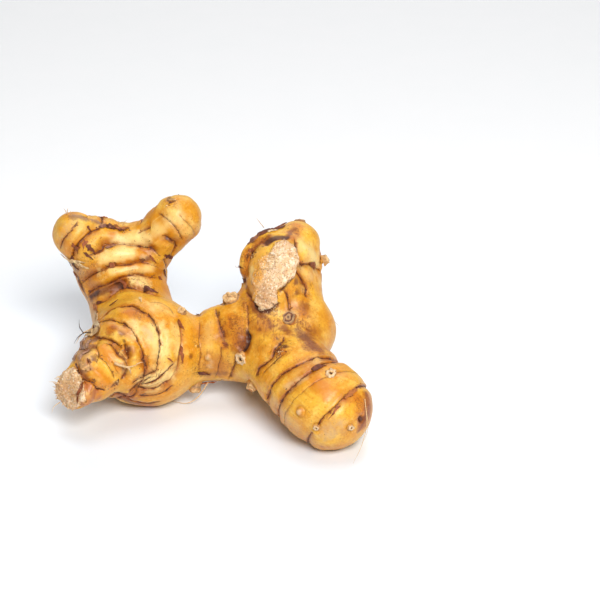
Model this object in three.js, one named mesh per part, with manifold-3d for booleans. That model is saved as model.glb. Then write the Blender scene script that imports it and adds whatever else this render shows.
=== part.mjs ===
// A fresh galangal rhizome lying on a table: one grown piece of lobes that branch off each other.
// Millimetres. +Z is up, +X runs along the rhizome's length, and the origin is on the table,
// under the middle of the rhizome's box.
import * as THREE from 'three';
import { mergeVertices } from 'three/addons/utils/BufferGeometryUtils.js';
import Module from 'manifold-3d';

// Each lobe is a chain of balls, [x, y, z, radius], and its skin is the chain's sweep.
const LOBES = {
  // the thick old joint at the left, with its leaf bud and broken stem pointing left and down
  joint: [[-21, -0.5, 17.5, 18.5], [-23, 4, 16.5, 17.5]],
  bud: [
    [-26, -6, 19.5, 15], [-32, -10, 18, 11.5], [-36.5, -16, 17.5, 8.8],
    [-40, -20.5, 17, 7.2], [-44, -24.5, 16, 6.2],
  ],
  // the waist between the two thick ends
  neck: [[-15, -0.5, 17, 12.5], [-3.5, 0.5, 17, 10.5], [4, 2.5, 18.5, 12.5], [13.5, 3.5, 20, 14.5]],
  // the hub at the right, with a side bud and the long lobe that comes forward
  hub: [[16, 3.5, 20, 14.5], [24, 3.5, 20.5, 15.5], [30, 2.5, 23, 12]],
  side_bud: [[28, 1.5, 26.5, 9.5], [31, -1, 26, 7.5]],
  finger: [[21.5, -6, 20, 12], [27.5, -15, 17.5, 13], [34, -24, 15, 14], [39.5, -29.5, 13, 14]],
  // the upright shoot, snapped off, with its pale fibrous scar in two parts
  shoot: [[23.5, 7.5, 28.5, 13.5], [23.5, 11.5, 35.5, 12.5], [23, 13.5, 41, 12.5]],
  shoot_flank: [[27.5, 9.5, 31.5, 8.5], [29.5, 16, 40, 8], [29, 20.5, 46, 8]],
  scar: [[24.5, 7.5, 47, 7], [22.5, 4, 41, 7]],
  scar_foot: [[21.5, 3, 39, 5.5], [19, -0.5, 35.5, 4.3]],
  // the branch behind the joint, forked into two blunt lobes
  branch: [[-25.5, 14, 19, 14], [-29, 25.5, 25.5, 14], [-31.5, 28.5, 33, 14.5]],
  fork_left: [[-34, 28.5, 35.5, 12.5], [-39, 28.5, 41.5, 10.5], [-42.5, 27.5, 44.5, 9], [-45.5, 26.5, 47, 8]],
  fork_right: [[-28, 28.5, 35.5, 12], [-21, 29, 42.5, 9], [-16, 28, 47.5, 8.5], [-11.5, 27, 52.5, 8.5]],
  // the short lobe at the back that the hub leans on
  prop: [[21.5, 16, 18, 12], [15.5, 29.5, 10.5, 11.5]],
};

// Broken ends: a lobe stops at the plane through `at` that faces `out`.
const BREAKS = {
  scar: { at: [24, 1.5, 46.5], out: [-0.25, -0.78, 0.57] },
  scar_foot: { at: [24, 1.5, 46.5], out: [-0.25, -0.78, 0.57] },
  bud: { at: [-45, -26, 16.5], out: [-0.55, -0.8, 0.25] },
};

const STEPS_PER_SPAN = 5; // sweep steps from one ball of a chain to the next
const BLEND = 1.4; // how softly neighbouring lobes run into each other
const BROKEN_EDGE = 0.6; // how far the rim of a broken end is rounded
const CELL = 3; // the skin's facets are about this wide
const PRESSED = 1.5; // how far below the table the sweep may dip; the table flattens it
const SKIN_COLOR = '#d9a54f';
const SKIN_ROUGHNESS = 0.5;

// The balls of a chain, filled in along smooth curves through its places and its radii.
function sweep(chain) {
  const centres = chain.map(([x, y, z]) => new THREE.Vector3(x, y, z));
  const radii = chain.map(([, , , radius]) => new THREE.Vector3(radius, 0, 0));
  const path = new THREE.CatmullRomCurve3(centres, false, 'catmullrom', 0.5);
  const girth = new THREE.CatmullRomCurve3(radii, false, 'catmullrom', 0.5);
  const steps = STEPS_PER_SPAN * (chain.length - 1);
  return Array.from({ length: steps + 1 }, (_, i) => ({
    centre: path.getPoint(i / steps),
    radius: girth.getPoint(i / steps).x,
  }));
}

// Distance from a point to the tapered rod between two balls, negative inside it.
function rodDistance(point, from, to) {
  const span = to.centre.clone().sub(from.centre);
  const along = point.clone().sub(from.centre).dot(span) / span.lengthSq();
  const t = THREE.MathUtils.clamp(along, 0, 1);
  const nearest = from.centre.clone().addScaledVector(span, t);
  return point.distanceTo(nearest) - THREE.MathUtils.lerp(from.radius, to.radius, t);
}

const lobes = Object.entries(LOBES).map(([name, chain]) => {
  const broken = BREAKS[name];
  const plane = broken && new THREE.Plane().setFromNormalAndCoplanarPoint(
    new THREE.Vector3(...broken.out).normalize(),
    new THREE.Vector3(...broken.at),
  );
  return { balls: sweep(chain), plane };
});

// The least of several distances, rounded where they are nearly equal.
function softLeast(distances, softness) {
  const least = Math.min(...distances);
  const sum = distances.reduce((total, d) => total + Math.exp((least - d) / softness), 0);
  return least - softness * Math.log(sum);
}

function lobeDistance(point, { balls, plane }) {
  let distance = Infinity;
  for (let i = 1; i < balls.length; i += 1) {
    distance = Math.min(distance, rodDistance(point, balls[i - 1], balls[i]));
  }
  return plane ? -softLeast([-distance, -plane.distanceToPoint(point)], BROKEN_EDGE) : distance;
}

// Distance to the whole rhizome: the lobes joined with a soft fillet.
function skinDistance(point) {
  return softLeast(lobes.map((lobe) => lobeDistance(point, lobe)), BLEND);
}

// Moves a point onto the skin along the distance's slope.
function settle(point) {
  const probe = CELL / 20;
  for (let round = 0; round < 3; round += 1) {
    const here = skinDistance(point);
    const slope = new THREE.Vector3(
      skinDistance(point.clone().setX(point.x + probe)) - here,
      skinDistance(point.clone().setY(point.y + probe)) - here,
      skinDistance(point.clone().setZ(point.z + probe)) - here,
    ).divideScalar(probe);
    point.addScaledVector(slope, -here / Math.max(slope.lengthSq(), 0.3));
  }
  return point;
}

// The box of all the sweeps, with a cell to spare all round.
function gridBox() {
  const box = new THREE.Box3();
  for (const { balls } of lobes) {
    for (const { centre, radius } of balls) {
      box.expandByPoint(centre.clone().addScalar(radius));
      box.expandByPoint(centre.clone().subScalar(radius));
    }
  }
  return box.expandByScalar(CELL * 1.5);
}

// A net over the skin: one knot in each grid cell that the skin crosses, and two triangles
// round each grid edge that it crosses.
function netOverSkin() {
  const box = gridBox();
  const size = box.getSize(new THREE.Vector3());
  const counts = [size.x, size.y, size.z].map((length) => Math.ceil(length / CELL) + 1);
  const [nx, ny, nz] = counts;
  const id = (i, j, k) => i + nx * (j + ny * k);
  const place = (i, j, k) => new THREE.Vector3(i, j, k).multiplyScalar(CELL).add(box.min);
  const values = new Float64Array(nx * ny * nz);
  for (let k = 0; k < nz; k += 1) {
    for (let j = 0; j < ny; j += 1) {
      for (let i = 0; i < nx; i += 1) values[id(i, j, k)] = skinDistance(place(i, j, k));
    }
  }

  const corners = [0, 1, 2, 3, 4, 5, 6, 7].map((n) => [n & 1, (n >> 1) & 1, n >> 2]);
  const isEdge = (a, b) => a < b && [1, 2, 4].includes(a ^ b);
  const edges = corners.flatMap((_, a) => corners.map((__, b) => [a, b])).filter(([a, b]) => isEdge(a, b));

  const positions = [];
  const knots = new Map();
  const addKnot = (i, j, k) => {
    const crossings = [];
    for (const [a, b] of edges) {
      const [from, to] = [corners[a], corners[b]].map(([x, y, z]) => [i + x, j + y, k + z]);
      const [before, after] = [values[id(...from)], values[id(...to)]];
      if ((before < 0) !== (after < 0)) {
        crossings.push(place(...from).lerp(place(...to), before / (before - after)));
      }
    }
    if (crossings.length === 0) return;
    const middle = crossings.reduce((sum, p) => sum.add(p), new THREE.Vector3());
    knots.set(id(i, j, k), positions.length / 3);
    positions.push(...settle(middle.divideScalar(crossings.length)));
  };
  for (let k = 0; k < nz - 1; k += 1) {
    for (let j = 0; j < ny - 1; j += 1) {
      for (let i = 0; i < nx - 1; i += 1) addKnot(i, j, k);
    }
  }

  const triangles = [];
  const units = [[1, 0, 0], [0, 1, 0], [0, 0, 1]];
  const addFacets = (cell, axis) => {
    const here = values[id(...cell)];
    const there = values[id(...cell.map((c, n) => c + units[axis][n]))];
    if ((here < 0) === (there < 0)) return;
    const [u, v] = [units[(axis + 1) % 3], units[(axis + 2) % 3]];
    const around = [[0, 0], [1, 0], [1, 1], [0, 1]].map(([a, b]) => (
      knots.get(id(...cell.map((c, n) => c - a * u[n] - b * v[n])))
    ));
    const [p, q, r, s] = here < 0 ? around : around.reverse();
    triangles.push(p, q, r, p, r, s);
  };
  for (let k = 1; k < nz - 1; k += 1) {
    for (let j = 1; j < ny - 1; j += 1) {
      for (let i = 1; i < nx - 1; i += 1) {
        for (const axis of [0, 1, 2]) addFacets([i, j, k], axis);
      }
    }
  }
  return { positions, triangles };
}

// The table takes away whatever dips below it, which leaves the small flats it rests on.
function restOnTable(net) {
  const toSolid = (positions, triangles) => new wasm.Manifold(new wasm.Mesh({
    numProp: 3,
    vertProperties: Float32Array.from(positions),
    triVerts: Uint32Array.from(triangles),
  }));
  const { min, max } = gridBox();
  const table = new THREE.BoxGeometry(max.x - min.x, max.y - min.y, PRESSED * 2);
  table.translate((min.x + max.x) / 2, (min.y + max.y) / 2, -PRESSED);
  table.deleteAttribute('normal');
  table.deleteAttribute('uv');
  const slab = mergeVertices(table);
  const rested = toSolid(net.positions, net.triangles)
    .subtract(toSolid(slab.getAttribute('position').array, slab.getIndex().array))
    .getMesh();
  const geometry = new THREE.BufferGeometry();
  geometry.setAttribute('position', new THREE.BufferAttribute(rested.vertProperties, 3));
  geometry.setIndex(new THREE.BufferAttribute(rested.triVerts, 1));
  geometry.computeVertexNormals();
  return geometry;
}

const wasm = await Module();
wasm.setup();

const rhizome = new THREE.Mesh(
  restOnTable(netOverSkin()),
  new THREE.MeshStandardMaterial({ color: SKIN_COLOR, roughness: SKIN_ROUGHNESS, metalness: 0 }),
);
rhizome.name = 'rhizome';

const galangal = new THREE.Group();
galangal.add(rhizome);

export default galangal;
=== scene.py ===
"""The looks of a fresh galangal rhizome: its ringed waxy skin, broken ends, root stubs, rootlets and
papery scales, on a pale floor in soft studio light. Sizes and places are millimetres in the frame's
axes, and they become metres where a mesh is made."""

import math
from collections import namedtuple
from itertools import combinations

import bpy
import numpy as np
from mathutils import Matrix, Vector
from mathutils.bvhtree import BVHTree


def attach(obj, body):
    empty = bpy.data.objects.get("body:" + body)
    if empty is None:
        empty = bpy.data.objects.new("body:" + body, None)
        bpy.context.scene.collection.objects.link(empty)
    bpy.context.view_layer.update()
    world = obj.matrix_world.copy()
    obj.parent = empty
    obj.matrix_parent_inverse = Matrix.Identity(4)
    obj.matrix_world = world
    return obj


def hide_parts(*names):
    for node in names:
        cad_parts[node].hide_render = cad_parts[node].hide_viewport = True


MM = 0.001

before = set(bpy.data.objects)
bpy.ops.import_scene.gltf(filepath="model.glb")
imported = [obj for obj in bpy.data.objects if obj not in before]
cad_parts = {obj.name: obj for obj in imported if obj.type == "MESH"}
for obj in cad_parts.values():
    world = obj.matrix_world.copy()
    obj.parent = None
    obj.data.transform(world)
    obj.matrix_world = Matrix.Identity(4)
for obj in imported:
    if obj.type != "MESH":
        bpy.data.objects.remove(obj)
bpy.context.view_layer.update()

# ---------------- The rhizome's form: the same lobes and broken ends as the CAD model ----------------

# Each lobe is a chain of balls, (x, y, z, radius), and its skin is the chain's sweep.
LOBES = {
    "joint": [(-21, -0.5, 17.5, 18.5), (-23, 4, 16.5, 17.5)],
    "bud": [
        (-26, -6, 19.5, 15), (-32, -10, 18, 11.5), (-36.5, -16, 17.5, 8.8), (-40, -20.5, 17, 7.2),
        (-44, -24.5, 16, 6.2),
    ],
    "neck": [(-15, -0.5, 17, 12.5), (-3.5, 0.5, 17, 10.5), (4, 2.5, 18.5, 12.5), (13.5, 3.5, 20, 14.5)],
    "hub": [(16, 3.5, 20, 14.5), (24, 3.5, 20.5, 15.5), (30, 2.5, 23, 12)],
    "side_bud": [(28, 1.5, 26.5, 9.5), (31, -1, 26, 7.5)],
    "finger": [(21.5, -6, 20, 12), (27.5, -15, 17.5, 13), (34, -24, 15, 14), (39.5, -29.5, 13, 14)],
    "shoot": [(23.5, 7.5, 28.5, 13.5), (23.5, 11.5, 35.5, 12.5), (23, 13.5, 41, 12.5)],
    "shoot_flank": [(27.5, 9.5, 31.5, 8.5), (29.5, 16, 40, 8), (29, 20.5, 46, 8)],
    "scar": [(24.5, 7.5, 47, 7), (22.5, 4, 41, 7)],
    "scar_foot": [(21.5, 3, 39, 5.5), (19, -0.5, 35.5, 4.3)],
    "branch": [(-25.5, 14, 19, 14), (-29, 25.5, 25.5, 14), (-31.5, 28.5, 33, 14.5)],
    "fork_left": [
        (-34, 28.5, 35.5, 12.5), (-39, 28.5, 41.5, 10.5), (-42.5, 27.5, 44.5, 9), (-45.5, 26.5, 47, 8),
    ],
    "fork_right": [(-28, 28.5, 35.5, 12), (-21, 29, 42.5, 9), (-16, 28, 47.5, 8.5), (-11.5, 27, 52.5, 8.5)],
    "prop": [(21.5, 16, 18, 12), (15.5, 29.5, 10.5, 11.5)],
}
SHOOT_BREAK = ((24, 1.5, 46.5), (-0.25, -0.78, 0.57))
BUD_BREAK = ((-45, -26, 16.5), (-0.55, -0.8, 0.25))
BREAKS = {"scar": SHOOT_BREAK, "scar_foot": SHOOT_BREAK, "bud": BUD_BREAK}
# Where the old stem left the shoot: balls whose union with the skin is the scar's face.
STEM_SCAR = [
    (24.4, 5, 51.2, 3.9), (25, 3.3, 50, 4.8), (22.8, 1, 47.2, 5.8), (25.2, 0.4, 46.2, 3.2),
    (20.8, 0, 44.9, 5), (18.6, 4, 47.2, 4.6), (16.8, 2, 43.6, 4.8), (18, -1.6, 41, 4.2),
    (18.8, -3.4, 38.6, 4.3), (15.4, -0.4, 39.4, 3.2),
]
# The bud's broken end is torn on past its flat face.
BUD_SCAR = [(-44.3, -23.4, 21.2, 3.4), (-42.2, -25.6, 20.6, 2.4)]
# Steps of the sweep from ball to ball, and how softly the lobes and the broken edges blend, in mm.
STEPS_PER_SPAN = 5
BLEND = 1.4
BROKEN_EDGE = 0.6

# Lobes that carry one run of rings.
REGIONS = {
    "joint": ["joint", "bud"],
    "neck": ["neck", "hub", "side_bud"],
    "finger": ["finger"],
    "shoot": ["shoot", "shoot_flank", "scar", "scar_foot"],
    "branch": ["branch"],
    "fork_left": ["fork_left"],
    "fork_right": ["fork_right"],
    "prop": ["prop"],
}

# ---------------- What grows on the skin ----------------

# Leaf-scar rings that go round a lobe: (a point of the ring's plane, the way to the tip, strength).
# Each further entry keeps only the half beyond a plane: (point, way that is kept).
RINGS = {
    "joint": [
        ((-24.5, -14.7, 29.7), (-0.66, -0.74, 0.13), 1.1),
        ((-19.2, -10.4, 31.1), (-0.49, -0.72, 0.49), 1.1),
        ((-38, -14, 10), (-0.6, -0.75, -0.1), 1, ((-32, -10, 12), (0, 0, -1))),
        ((-30, 2, 12), (-0.7, -0.7, 0), 0.9, ((-32, 2, 14), (-0.6, 0.5, -0.5))),
    ],
    "neck": [
        ((-3.2, -4.5, 24.9), (0.98, 0.13, -0.16), 0.9, ((-3, 3, 24), (0, 1, 0))),
        ((3.2, 4, 23), (0.94, 0.31, -0.13), 1, ((3, 4, 24), (0, 1, 0))),
        ((10.9, 0, 24.4), (0.94, 0.18, -0.29), 1, ((11, 2, 28), (0, 1, 0))),
        ((3, 0, 8), (0.94, 0.2, 0), 0.8, ((3, 0, 9), (0, 0, -1))),
        ((20, 0, 20), (0.98, 0.1, -0.1), 0.8, ((20, 4, 12), (0, 0.5, -1))),
        ((32, 0, 18), (0.9, -0.1, -0.3), 0.9, ((32, 4, 18), (0.3, 1, -0.3))),
    ],
    "finger": [
        ((21.8, -22.6, 26), (0.6, -0.7, -0.4), 0.6, ((22, -22, 26), (-0.6, -0.6, 0.6))),
        ((25.7, -26.7, 23), (0.42, -0.81, -0.4), 1.3),
        ((26.8, -31.6, 20.1), (0.6, -0.68, -0.42), 1.5),
        ((33.2, -33.7, 20.7), (0.49, -0.78, -0.39), 0.38),
        ((38.9, -39.7, 15.6), (0.69, -0.52, -0.5), 1.1),
    ],
    "shoot": [
        ((24, 20, 34), (0, -0.2, 1), 1, ((24, 14, 36), (0.2, 1, 0))),
        ((24, 20, 40), (0.1, -0.1, 1), 1.1, ((24, 16, 42), (0.3, 1, 0))),
        ((24, 20, 46), (0.1, -0.3, 1), 1, ((24, 16, 42), (0.2, 1, 0))),
    ],
    "branch": [
        ((-27, 22, 20), (-0.2, 0.7, 0.65), 1.2, ((-28, 23, 28), (0, 0.9, -0.4))),
        ((-29, 29, 22), (-0.2, 0.6, 0.75), 1.2, ((-28, 25, 30), (0, 0.9, -0.4))),
        ((-31, 34, 29), (-0.1, 0.35, 0.95), 1.1, ((-30, 28, 32), (0, 1, -0.2))),
        ((-31, 38, 36), (0, 0.2, 1), 1.1, ((-30, 28, 34), (0, 1, 0))),
    ],
    "fork_left": [
        ((-47, 26, 47), (-0.8, 0.2, 0.55), 1.1, ((-45, 26, 46), (0, 1, 0))),
        ((-42.5, 27, 44), (-0.8, 0, 0.6), 1.1, ((-42, 26, 44), (0, 1, 0))),
        ((-38, 28, 40), (-0.75, 0, 0.65), 0.9, ((-38, 26, 40), (0, 1, 0))),
    ],
    "fork_right": [
        ((-12.5, 26, 51), (0.66, -0.1, 0.74), 1, ((-13, 27, 51), (0, 1, 0))),
        ((-8, 26, 55.5), (0.64, 0, 0.77), 0.8, ((-8, 25, 55), (0, 1, 0))),
        ((-18, 28, 46), (0.66, 0, 0.74), 1, ((-18, 27, 46), (0, 1, 0))),
        ((-23, 29, 40), (0.68, 0, 0.7), 1, ((-23, 28, 40), (0, 1, 0))),
    ],
    "prop": [
        ((20, 20, 17), (-0.35, 0.8, -0.45), 1.1),
        ((18.5, 24.5, 14), (-0.4, 0.8, -0.4), 1.2),
        ((16.5, 30, 11), (-0.4, 0.75, -0.5), 1),
        ((14.5, 36, 9), (-0.4, 0.8, -0.4), 0.8),
    ],
}

# Creases that follow no plane: (strength, width, points on the skin). The lower side is on the left of
# someone who walks along the points on the skin.
CREASES = {
    "left lobe 1": (0.9, 0.6, [(-44, 24, 54), (-47, 20, 52), (-50, 20, 48), (-51, 22, 43)]),
    "left lobe 2": (1.3, 0.8, [
        (-36, 25, 51.3), (-39.5, 22, 51), (-41.8, 19.9, 49.6), (-44, 18.8, 47.5), (-46, 19, 44),
        (-47, 21, 40),
    ]),
    "left lobe top": (0.9, 1.2, [(-36, 25, 51), (-33, 26, 50), (-31, 27, 50), (-28, 26, 49)]),
    "branch 3": (2.3, 0.6, [
        (-42, 18, 43), (-37, 18, 45), (-35, 20, 47), (-30, 21, 47), (-26, 21, 46), (-21, 20, 45),
        (-16, 21, 41),
    ]),
    "branch 4": (2.4, 0.6, [
        (-44, 21, 31), (-41, 17, 36), (-37, 15, 39), (-33, 15, 41), (-27, 16, 41), (-23, 18, 41),
        (-16, 22, 36),
    ]),
    "branch 5": (1.9, 0.6, [
        (-42, 19, 28), (-39, 16, 32), (-33, 14, 35), (-29, 14, 37), (-24, 16, 37), (-17, 21, 33),
    ]),
    "branch loop": (0.9, 0.9, [(-27, 14, 36), (-28, 13, 35), (-27, 13, 34), (-23, 13, 34), (-20, 14, 33)]),
    "branch foot": (2.0, 0.9, [
        (-39, 13, 27), (-34, 12, 31), (-31, 13, 34), (-28, 13, 35), (-23, 13, 34), (-18, 11, 33),
        (-14, 5, 34),
    ]),
    "branch side": (1.0, 1.6, [(-16, 21, 41), (-15, 24, 36), (-15, 28, 31)]),
    "right lobe 1": (0.7, 0.5, [
        (-18.4, 24.4, 56.9), (-15.8, 20.9, 56.6), (-13.1, 19.1, 55.2), (-11.1, 18.5, 52.9),
        (-10, 18.9, 50.4), (-9, 21, 46.8),
    ]),
    "right lobe 2": (1.4, 0.8, [
        (-16.5, 19.5, 50.5), (-14.8, 19.2, 49), (-13.1, 19.3, 47.9), (-11.7, 20.2, 46.2),
        (-12.4, 21.6, 43.2), (-13.9, 24, 39.3),
    ]),
    "right lobe neck": (1.0, 1.2, [(-25, 24, 49), (-22, 23, 51), (-20, 22, 52)]),
    "right lobe far": (0.4, 0.5, [
        (-10.5, 20.2, 58.5), (-8, 19.4, 55.8), (-5.8, 20.5, 52.2), (-5.6, 24, 47.5),
    ]),
    "joint edge": (1.3, 0.9, [
        (-10, -5, 32), (-9, -7, 30), (-9, -13, 24), (-10, -15, 19), (-12, -17, 15), (-16, -18, 13),
    ]),
    "joint crown": (0.45, 0.6, [(-20, -2, 36), (-17, -1, 36), (-13, -2, 34), (-11, -5, 32)]),
    "fan 1": (1.1, 0.6, [(-25, -21, 16), (-20, -20, 18), (-16, -19, 20)]),
    "fan 2": (1.2, 0.55, [(-25, -20, 14), (-21, -20, 14), (-19, -19, 15), (-13, -18, 19), (-10, -15, 21)]),
    "fan 3": (1.1, 0.55, [(-26, -20, 12.5), (-22, -19, 12), (-16, -18, 13), (-12, -17, 15)]),
    "fan 5": (0.8, 0.5, [(-24, -18, 9), (-19, -18, 8.5), (-14, -17, 10), (-11, -15, 13)]),
    "husk 1": (1.0, 1.2, [(-42.5, -10, 23.5), (-40.5, -14, 25), (-38, -17.5, 26.2)]),
    "husk 2": (1.0, 1.4, [(-38.4, -20, 25), (-38.2, -22.4, 24.3), (-37, -24.4, 22.8)]),
    "fan 4": (1.1, 0.6, [(-31, -22, 14), (-28, -16, 6), (-24, -14, 5), (-20, -13, 4), (-15, -14, 6)]),
    "dash 1": (0.7, 1.6, [(-20, -19, 26), (-20, -19, 24), (-20, -20, 21)]),
    "dash 2": (0.7, 1.5, [(-17, -19, 20), (-18, -20, 19), (-19, -20, 17)]),
    "bud collar": (2.2, 1.2, [
        (-27, -18, 28), (-31, -16, 30), (-34, -14, 30), (-36, -12, 29), (-40, -3, 26),
    ]),
    "bud cleft": (1.6, 1.3, [(-27, -17, 29.5), (-26.5, -18, 28.5), (-26, -19, 27), (-25.5, -20, 24.5)]),
    "bud flesh": (1.6, 0.7, [
        (-35, -14, 29), (-31, -17, 28), (-29, -19, 26), (-27, -20, 25), (-26, -21, 23), (-27, -21, 20),
        (-29, -21, 18),
    ]),
    "bud valley": (0.8, 0.35, [
        (-36.8, -18, 26.3), (-34.6, -19.8, 25.4), (-32.4, -21, 23.6), (-31, -22, 21), (-30, -22.3, 19),
    ]),
    "bud scales": (0.6, 0.7, [
        (-37, -24, 23), (-36, -22, 24), (-35, -19, 26), (-36, -16, 27), (-36, -13, 29),
    ]),
    "bud throat": (2.4, 2.2, [
        (-43, -19, 24), (-42, -23, 23), (-39, -26, 22), (-37, -26, 20), (-35, -26, 17), (-33, -24, 16),
    ]),
    "stub side": (2.2, 2.4, [(-40, -26, 22), (-40, -28, 20), (-42, -28, 17), (-43, -28, 14)]),
    "neck 1": (0.45, 0.3, [
        (-3.3, 2, 29), (-3, -2.5, 28), (-3.2, -5.5, 26), (-3, -8, 24), (-2.5, -9.5, 21),
        (-3.2, -10.5, 17.5), (-3.3, -10, 13.5),
    ]),
    "neck 2": (0.9, 0.5, [(2, 4, 31), (2.2, 0.4, 31.1), (3.2, -3.5, 30), (4.2, -6.5, 28), (5, -8.3, 26)]),
    "neck 2 foot": (0.6, 0.35, [
        (4.3, -9, 24), (4, -9.5, 22.5), (4, -10, 20), (3.3, -10, 17), (2.6, -9, 13), (1.4, -6, 9),
    ]),
    "neck 3": (0.9, 0.5, [
        (12.2, -0.3, 35.5), (12.6, -4, 34), (13, -7, 31.5), (12.7, -9.5, 29.5), (12.4, -11.5, 27),
    ]),
    "neck 3 foot": (1.2, 0.7, [
        (9.6, -12, 22), (8.7, -11.5, 20), (8, -11, 17), (7.2, -9.5, 13.5), (6.4, -6.5, 9.5),
    ]),
    "neck 3 cleft": (1.8, 2.0, [(12.8, -9, 29.5), (12.4, -11.5, 27), (11.7, -12, 25), (10.4, -12, 23)]),
    "bay": (1.3, 0.8, [
        (24.8, -14, 30.8), (24.2, -16.4, 30.2), (21.8, -18.8, 28.5), (20.7, -21, 26.7), (18.4, -21.2, 24.4),
        (16, -20, 21.5), (15.4, -19.5, 17),
    ]),
    "shoot collar": (1.4, 0.8, [
        (10, 11, 36), (10, 13, 41), (11, 16, 46), (13, 17, 50), (16, 19, 52), (22, 21, 52),
    ]),
    "shoot cleft": (2.4, 3.0, [
        (17.5, 8, 52), (19.5, 9.5, 53.3), (22, 10.3, 54), (24.5, 10.3, 54), (27, 9.5, 53.8),
    ]),
    "shoot fold": (1.8, 0.8, [
        (32, -0.5, 37), (32.5, 2, 39), (31.5, 2.5, 41.5), (30, 2, 45), (28.5, 1.5, 46.5),
    ]),
    "shoot flap": (2.0, 0.7, [
        (36.5, 13, 40), (36, 10.5, 43), (34, 8, 45.5), (31.5, 4.5, 47), (30.5, 3.5, 49), (29.5, 4, 51),
        (29, 7.5, 52.5), (28, 12, 53.8),
    ]),
    "under scar": (1.1, 0.8, [
        (23, -2.5, 42), (25, -3, 41), (26, -3.5, 38.5), (26.5, -4.5, 36.5), (26.5, -6, 35),
    ]),
    "shoot band": (1.1, 0.8, [(12, 5, 41), (11.5, 7.5, 44), (13, 10, 48.5), (16, 12, 51.5), (20, 13, 53)]),
    "scar shoulder": (1.2, 1.0, [(11, 6, 37), (14, -1, 37), (15, -4, 36), (18, -5, 36)]),
    "shoot foot": (1.2, 1.8, [(9, 11, 37), (10, 11, 37), (12, 7, 40)]),
}

# Folds, raised or sunk, along smooth lines: (height, half width, points on the skin).
FOLDS = [
    (1.1, 3.0, [
        (-36.4, -15, 28), (-34, -17.4, 27.2), (-31.2, -19.6, 25), (-29.2, -21.2, 22.3),
        (-28.6, -21.8, 19.5),
    ]),
    (1.5, 2.7, [
        (-39, -17.6, 25.8), (-37.4, -22, 23.8), (-35.3, -24.2, 21.4), (-33.4, -24.6, 19),
        (-31.8, -23.6, 16.6),
    ]),
    (1.2, 3.4, [(-34.5, -8.5, 32), (-31.5, -12.5, 31.5), (-28.5, -15.5, 30.5)]),
    (1.1, 1.7, [(-24.5, -17.5, 29.5), (-23.8, -19, 27), (-24.3, -20, 24.5)]),
    (-0.8, 0.9, [(-26.8, -17, 29.8), (-26.4, -18, 28.5), (-26, -19, 27), (-25.6, -20, 24.8)]),
    (1.5, 2.6, [(-36.4, -26.2, 20.5), (-37.4, -27.6, 18.2), (-38.6, -28.5, 15.2), (-39.6, -28.5, 12.6)]),
    (1.4, 2.1, [
        (10, 11, 37.5), (10.5, 12.5, 43), (11.5, 14, 47.5), (14, 15.5, 50.8), (17.5, 16.5, 52.8),
        (22, 17.5, 53.8),
    ]),
    (-0.25, 1.6, [(12.5, 7, 40), (13, 9.5, 45), (14.5, 11.5, 49.5), (18, 12.5, 52.3)]),
    (0.9, 3.6, [(25.5, 5, 51.5), (24, 2.5, 49), (22.5, 0, 46)]),
    (1.0, 2.8, [(19.3, -3, 40), (18.3, -4, 38.2)]),
    (-0.35, 1.8, [(24.3, -2, 42.4), (22.5, -2, 42.8), (20.5, -1.5, 42.6)]),
    (0.7, 1.6, [(-41.5, -8, 25), (-40.5, -12, 25.6), (-38.5, -15.5, 26.6)]),
    (0.5, 1.3, [(-42.2, -13, 23.5), (-41.4, -17, 24), (-40, -19.5, 25)]),
    (0.7, 1.7, [(-40.4, -21.5, 24.2), (-38.8, -23, 23.8)]),
    (0.5, 1.5, [(-22, -22, 15), (-15, -21, 18), (-11, -18, 22)]),
    (0.8, 3.2, [(31, 9, 51.5), (33, 8, 48), (35, 10.5, 44.5)]),
    (0.7, 2.6, [(31.5, 4, 45), (33, 4, 41.5), (33.5, 2, 38.5)]),
    (0.7, 2.6, [(-34, 18.5, 43.5), (-28, 19, 44.8), (-24, 19.5, 44)]),
    (0.6, 2.2, [(-37, 16, 37.5), (-31, 15.5, 39), (-24, 16.5, 39.2), (-19, 19, 37)]),
    (0.6, 2.2, [(-29, 14.5, 35.8), (-25, 14.3, 35.8), (-21, 14.5, 34)]),
]

# Swellings and pits of the skin: (x, y, z, radius, height).
BUMPS = [
    (-25.5, -14, 32, 5, 0.6), (49.7, -39, 14.1, 1.5, -1.4), (-22, -18.5, 12.5, 1.2, -0.8),
    (-18, -1, 37, 9, 0.5), (28, 10, 52, 6, 0.5), (6, -7, 27, 3, -0.5),
]

# Small round warts with a groove about them: (x, y, z, radius, height).
WARTS = [
    (30, -39.1, 16.8, 1.45, 1.2), (45.8, -42, 12.9, 0.9, 0.5), (35.1, -42.8, 13.1, 1.1, 0.5),
    (38, 17.2, 42.2, 1.4, 0.9), (-3.8, -8.6, 23.7, 0.6, 0.3), (-0.4, -9.6, 19.7, 1.1, 0.6),
]

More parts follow.
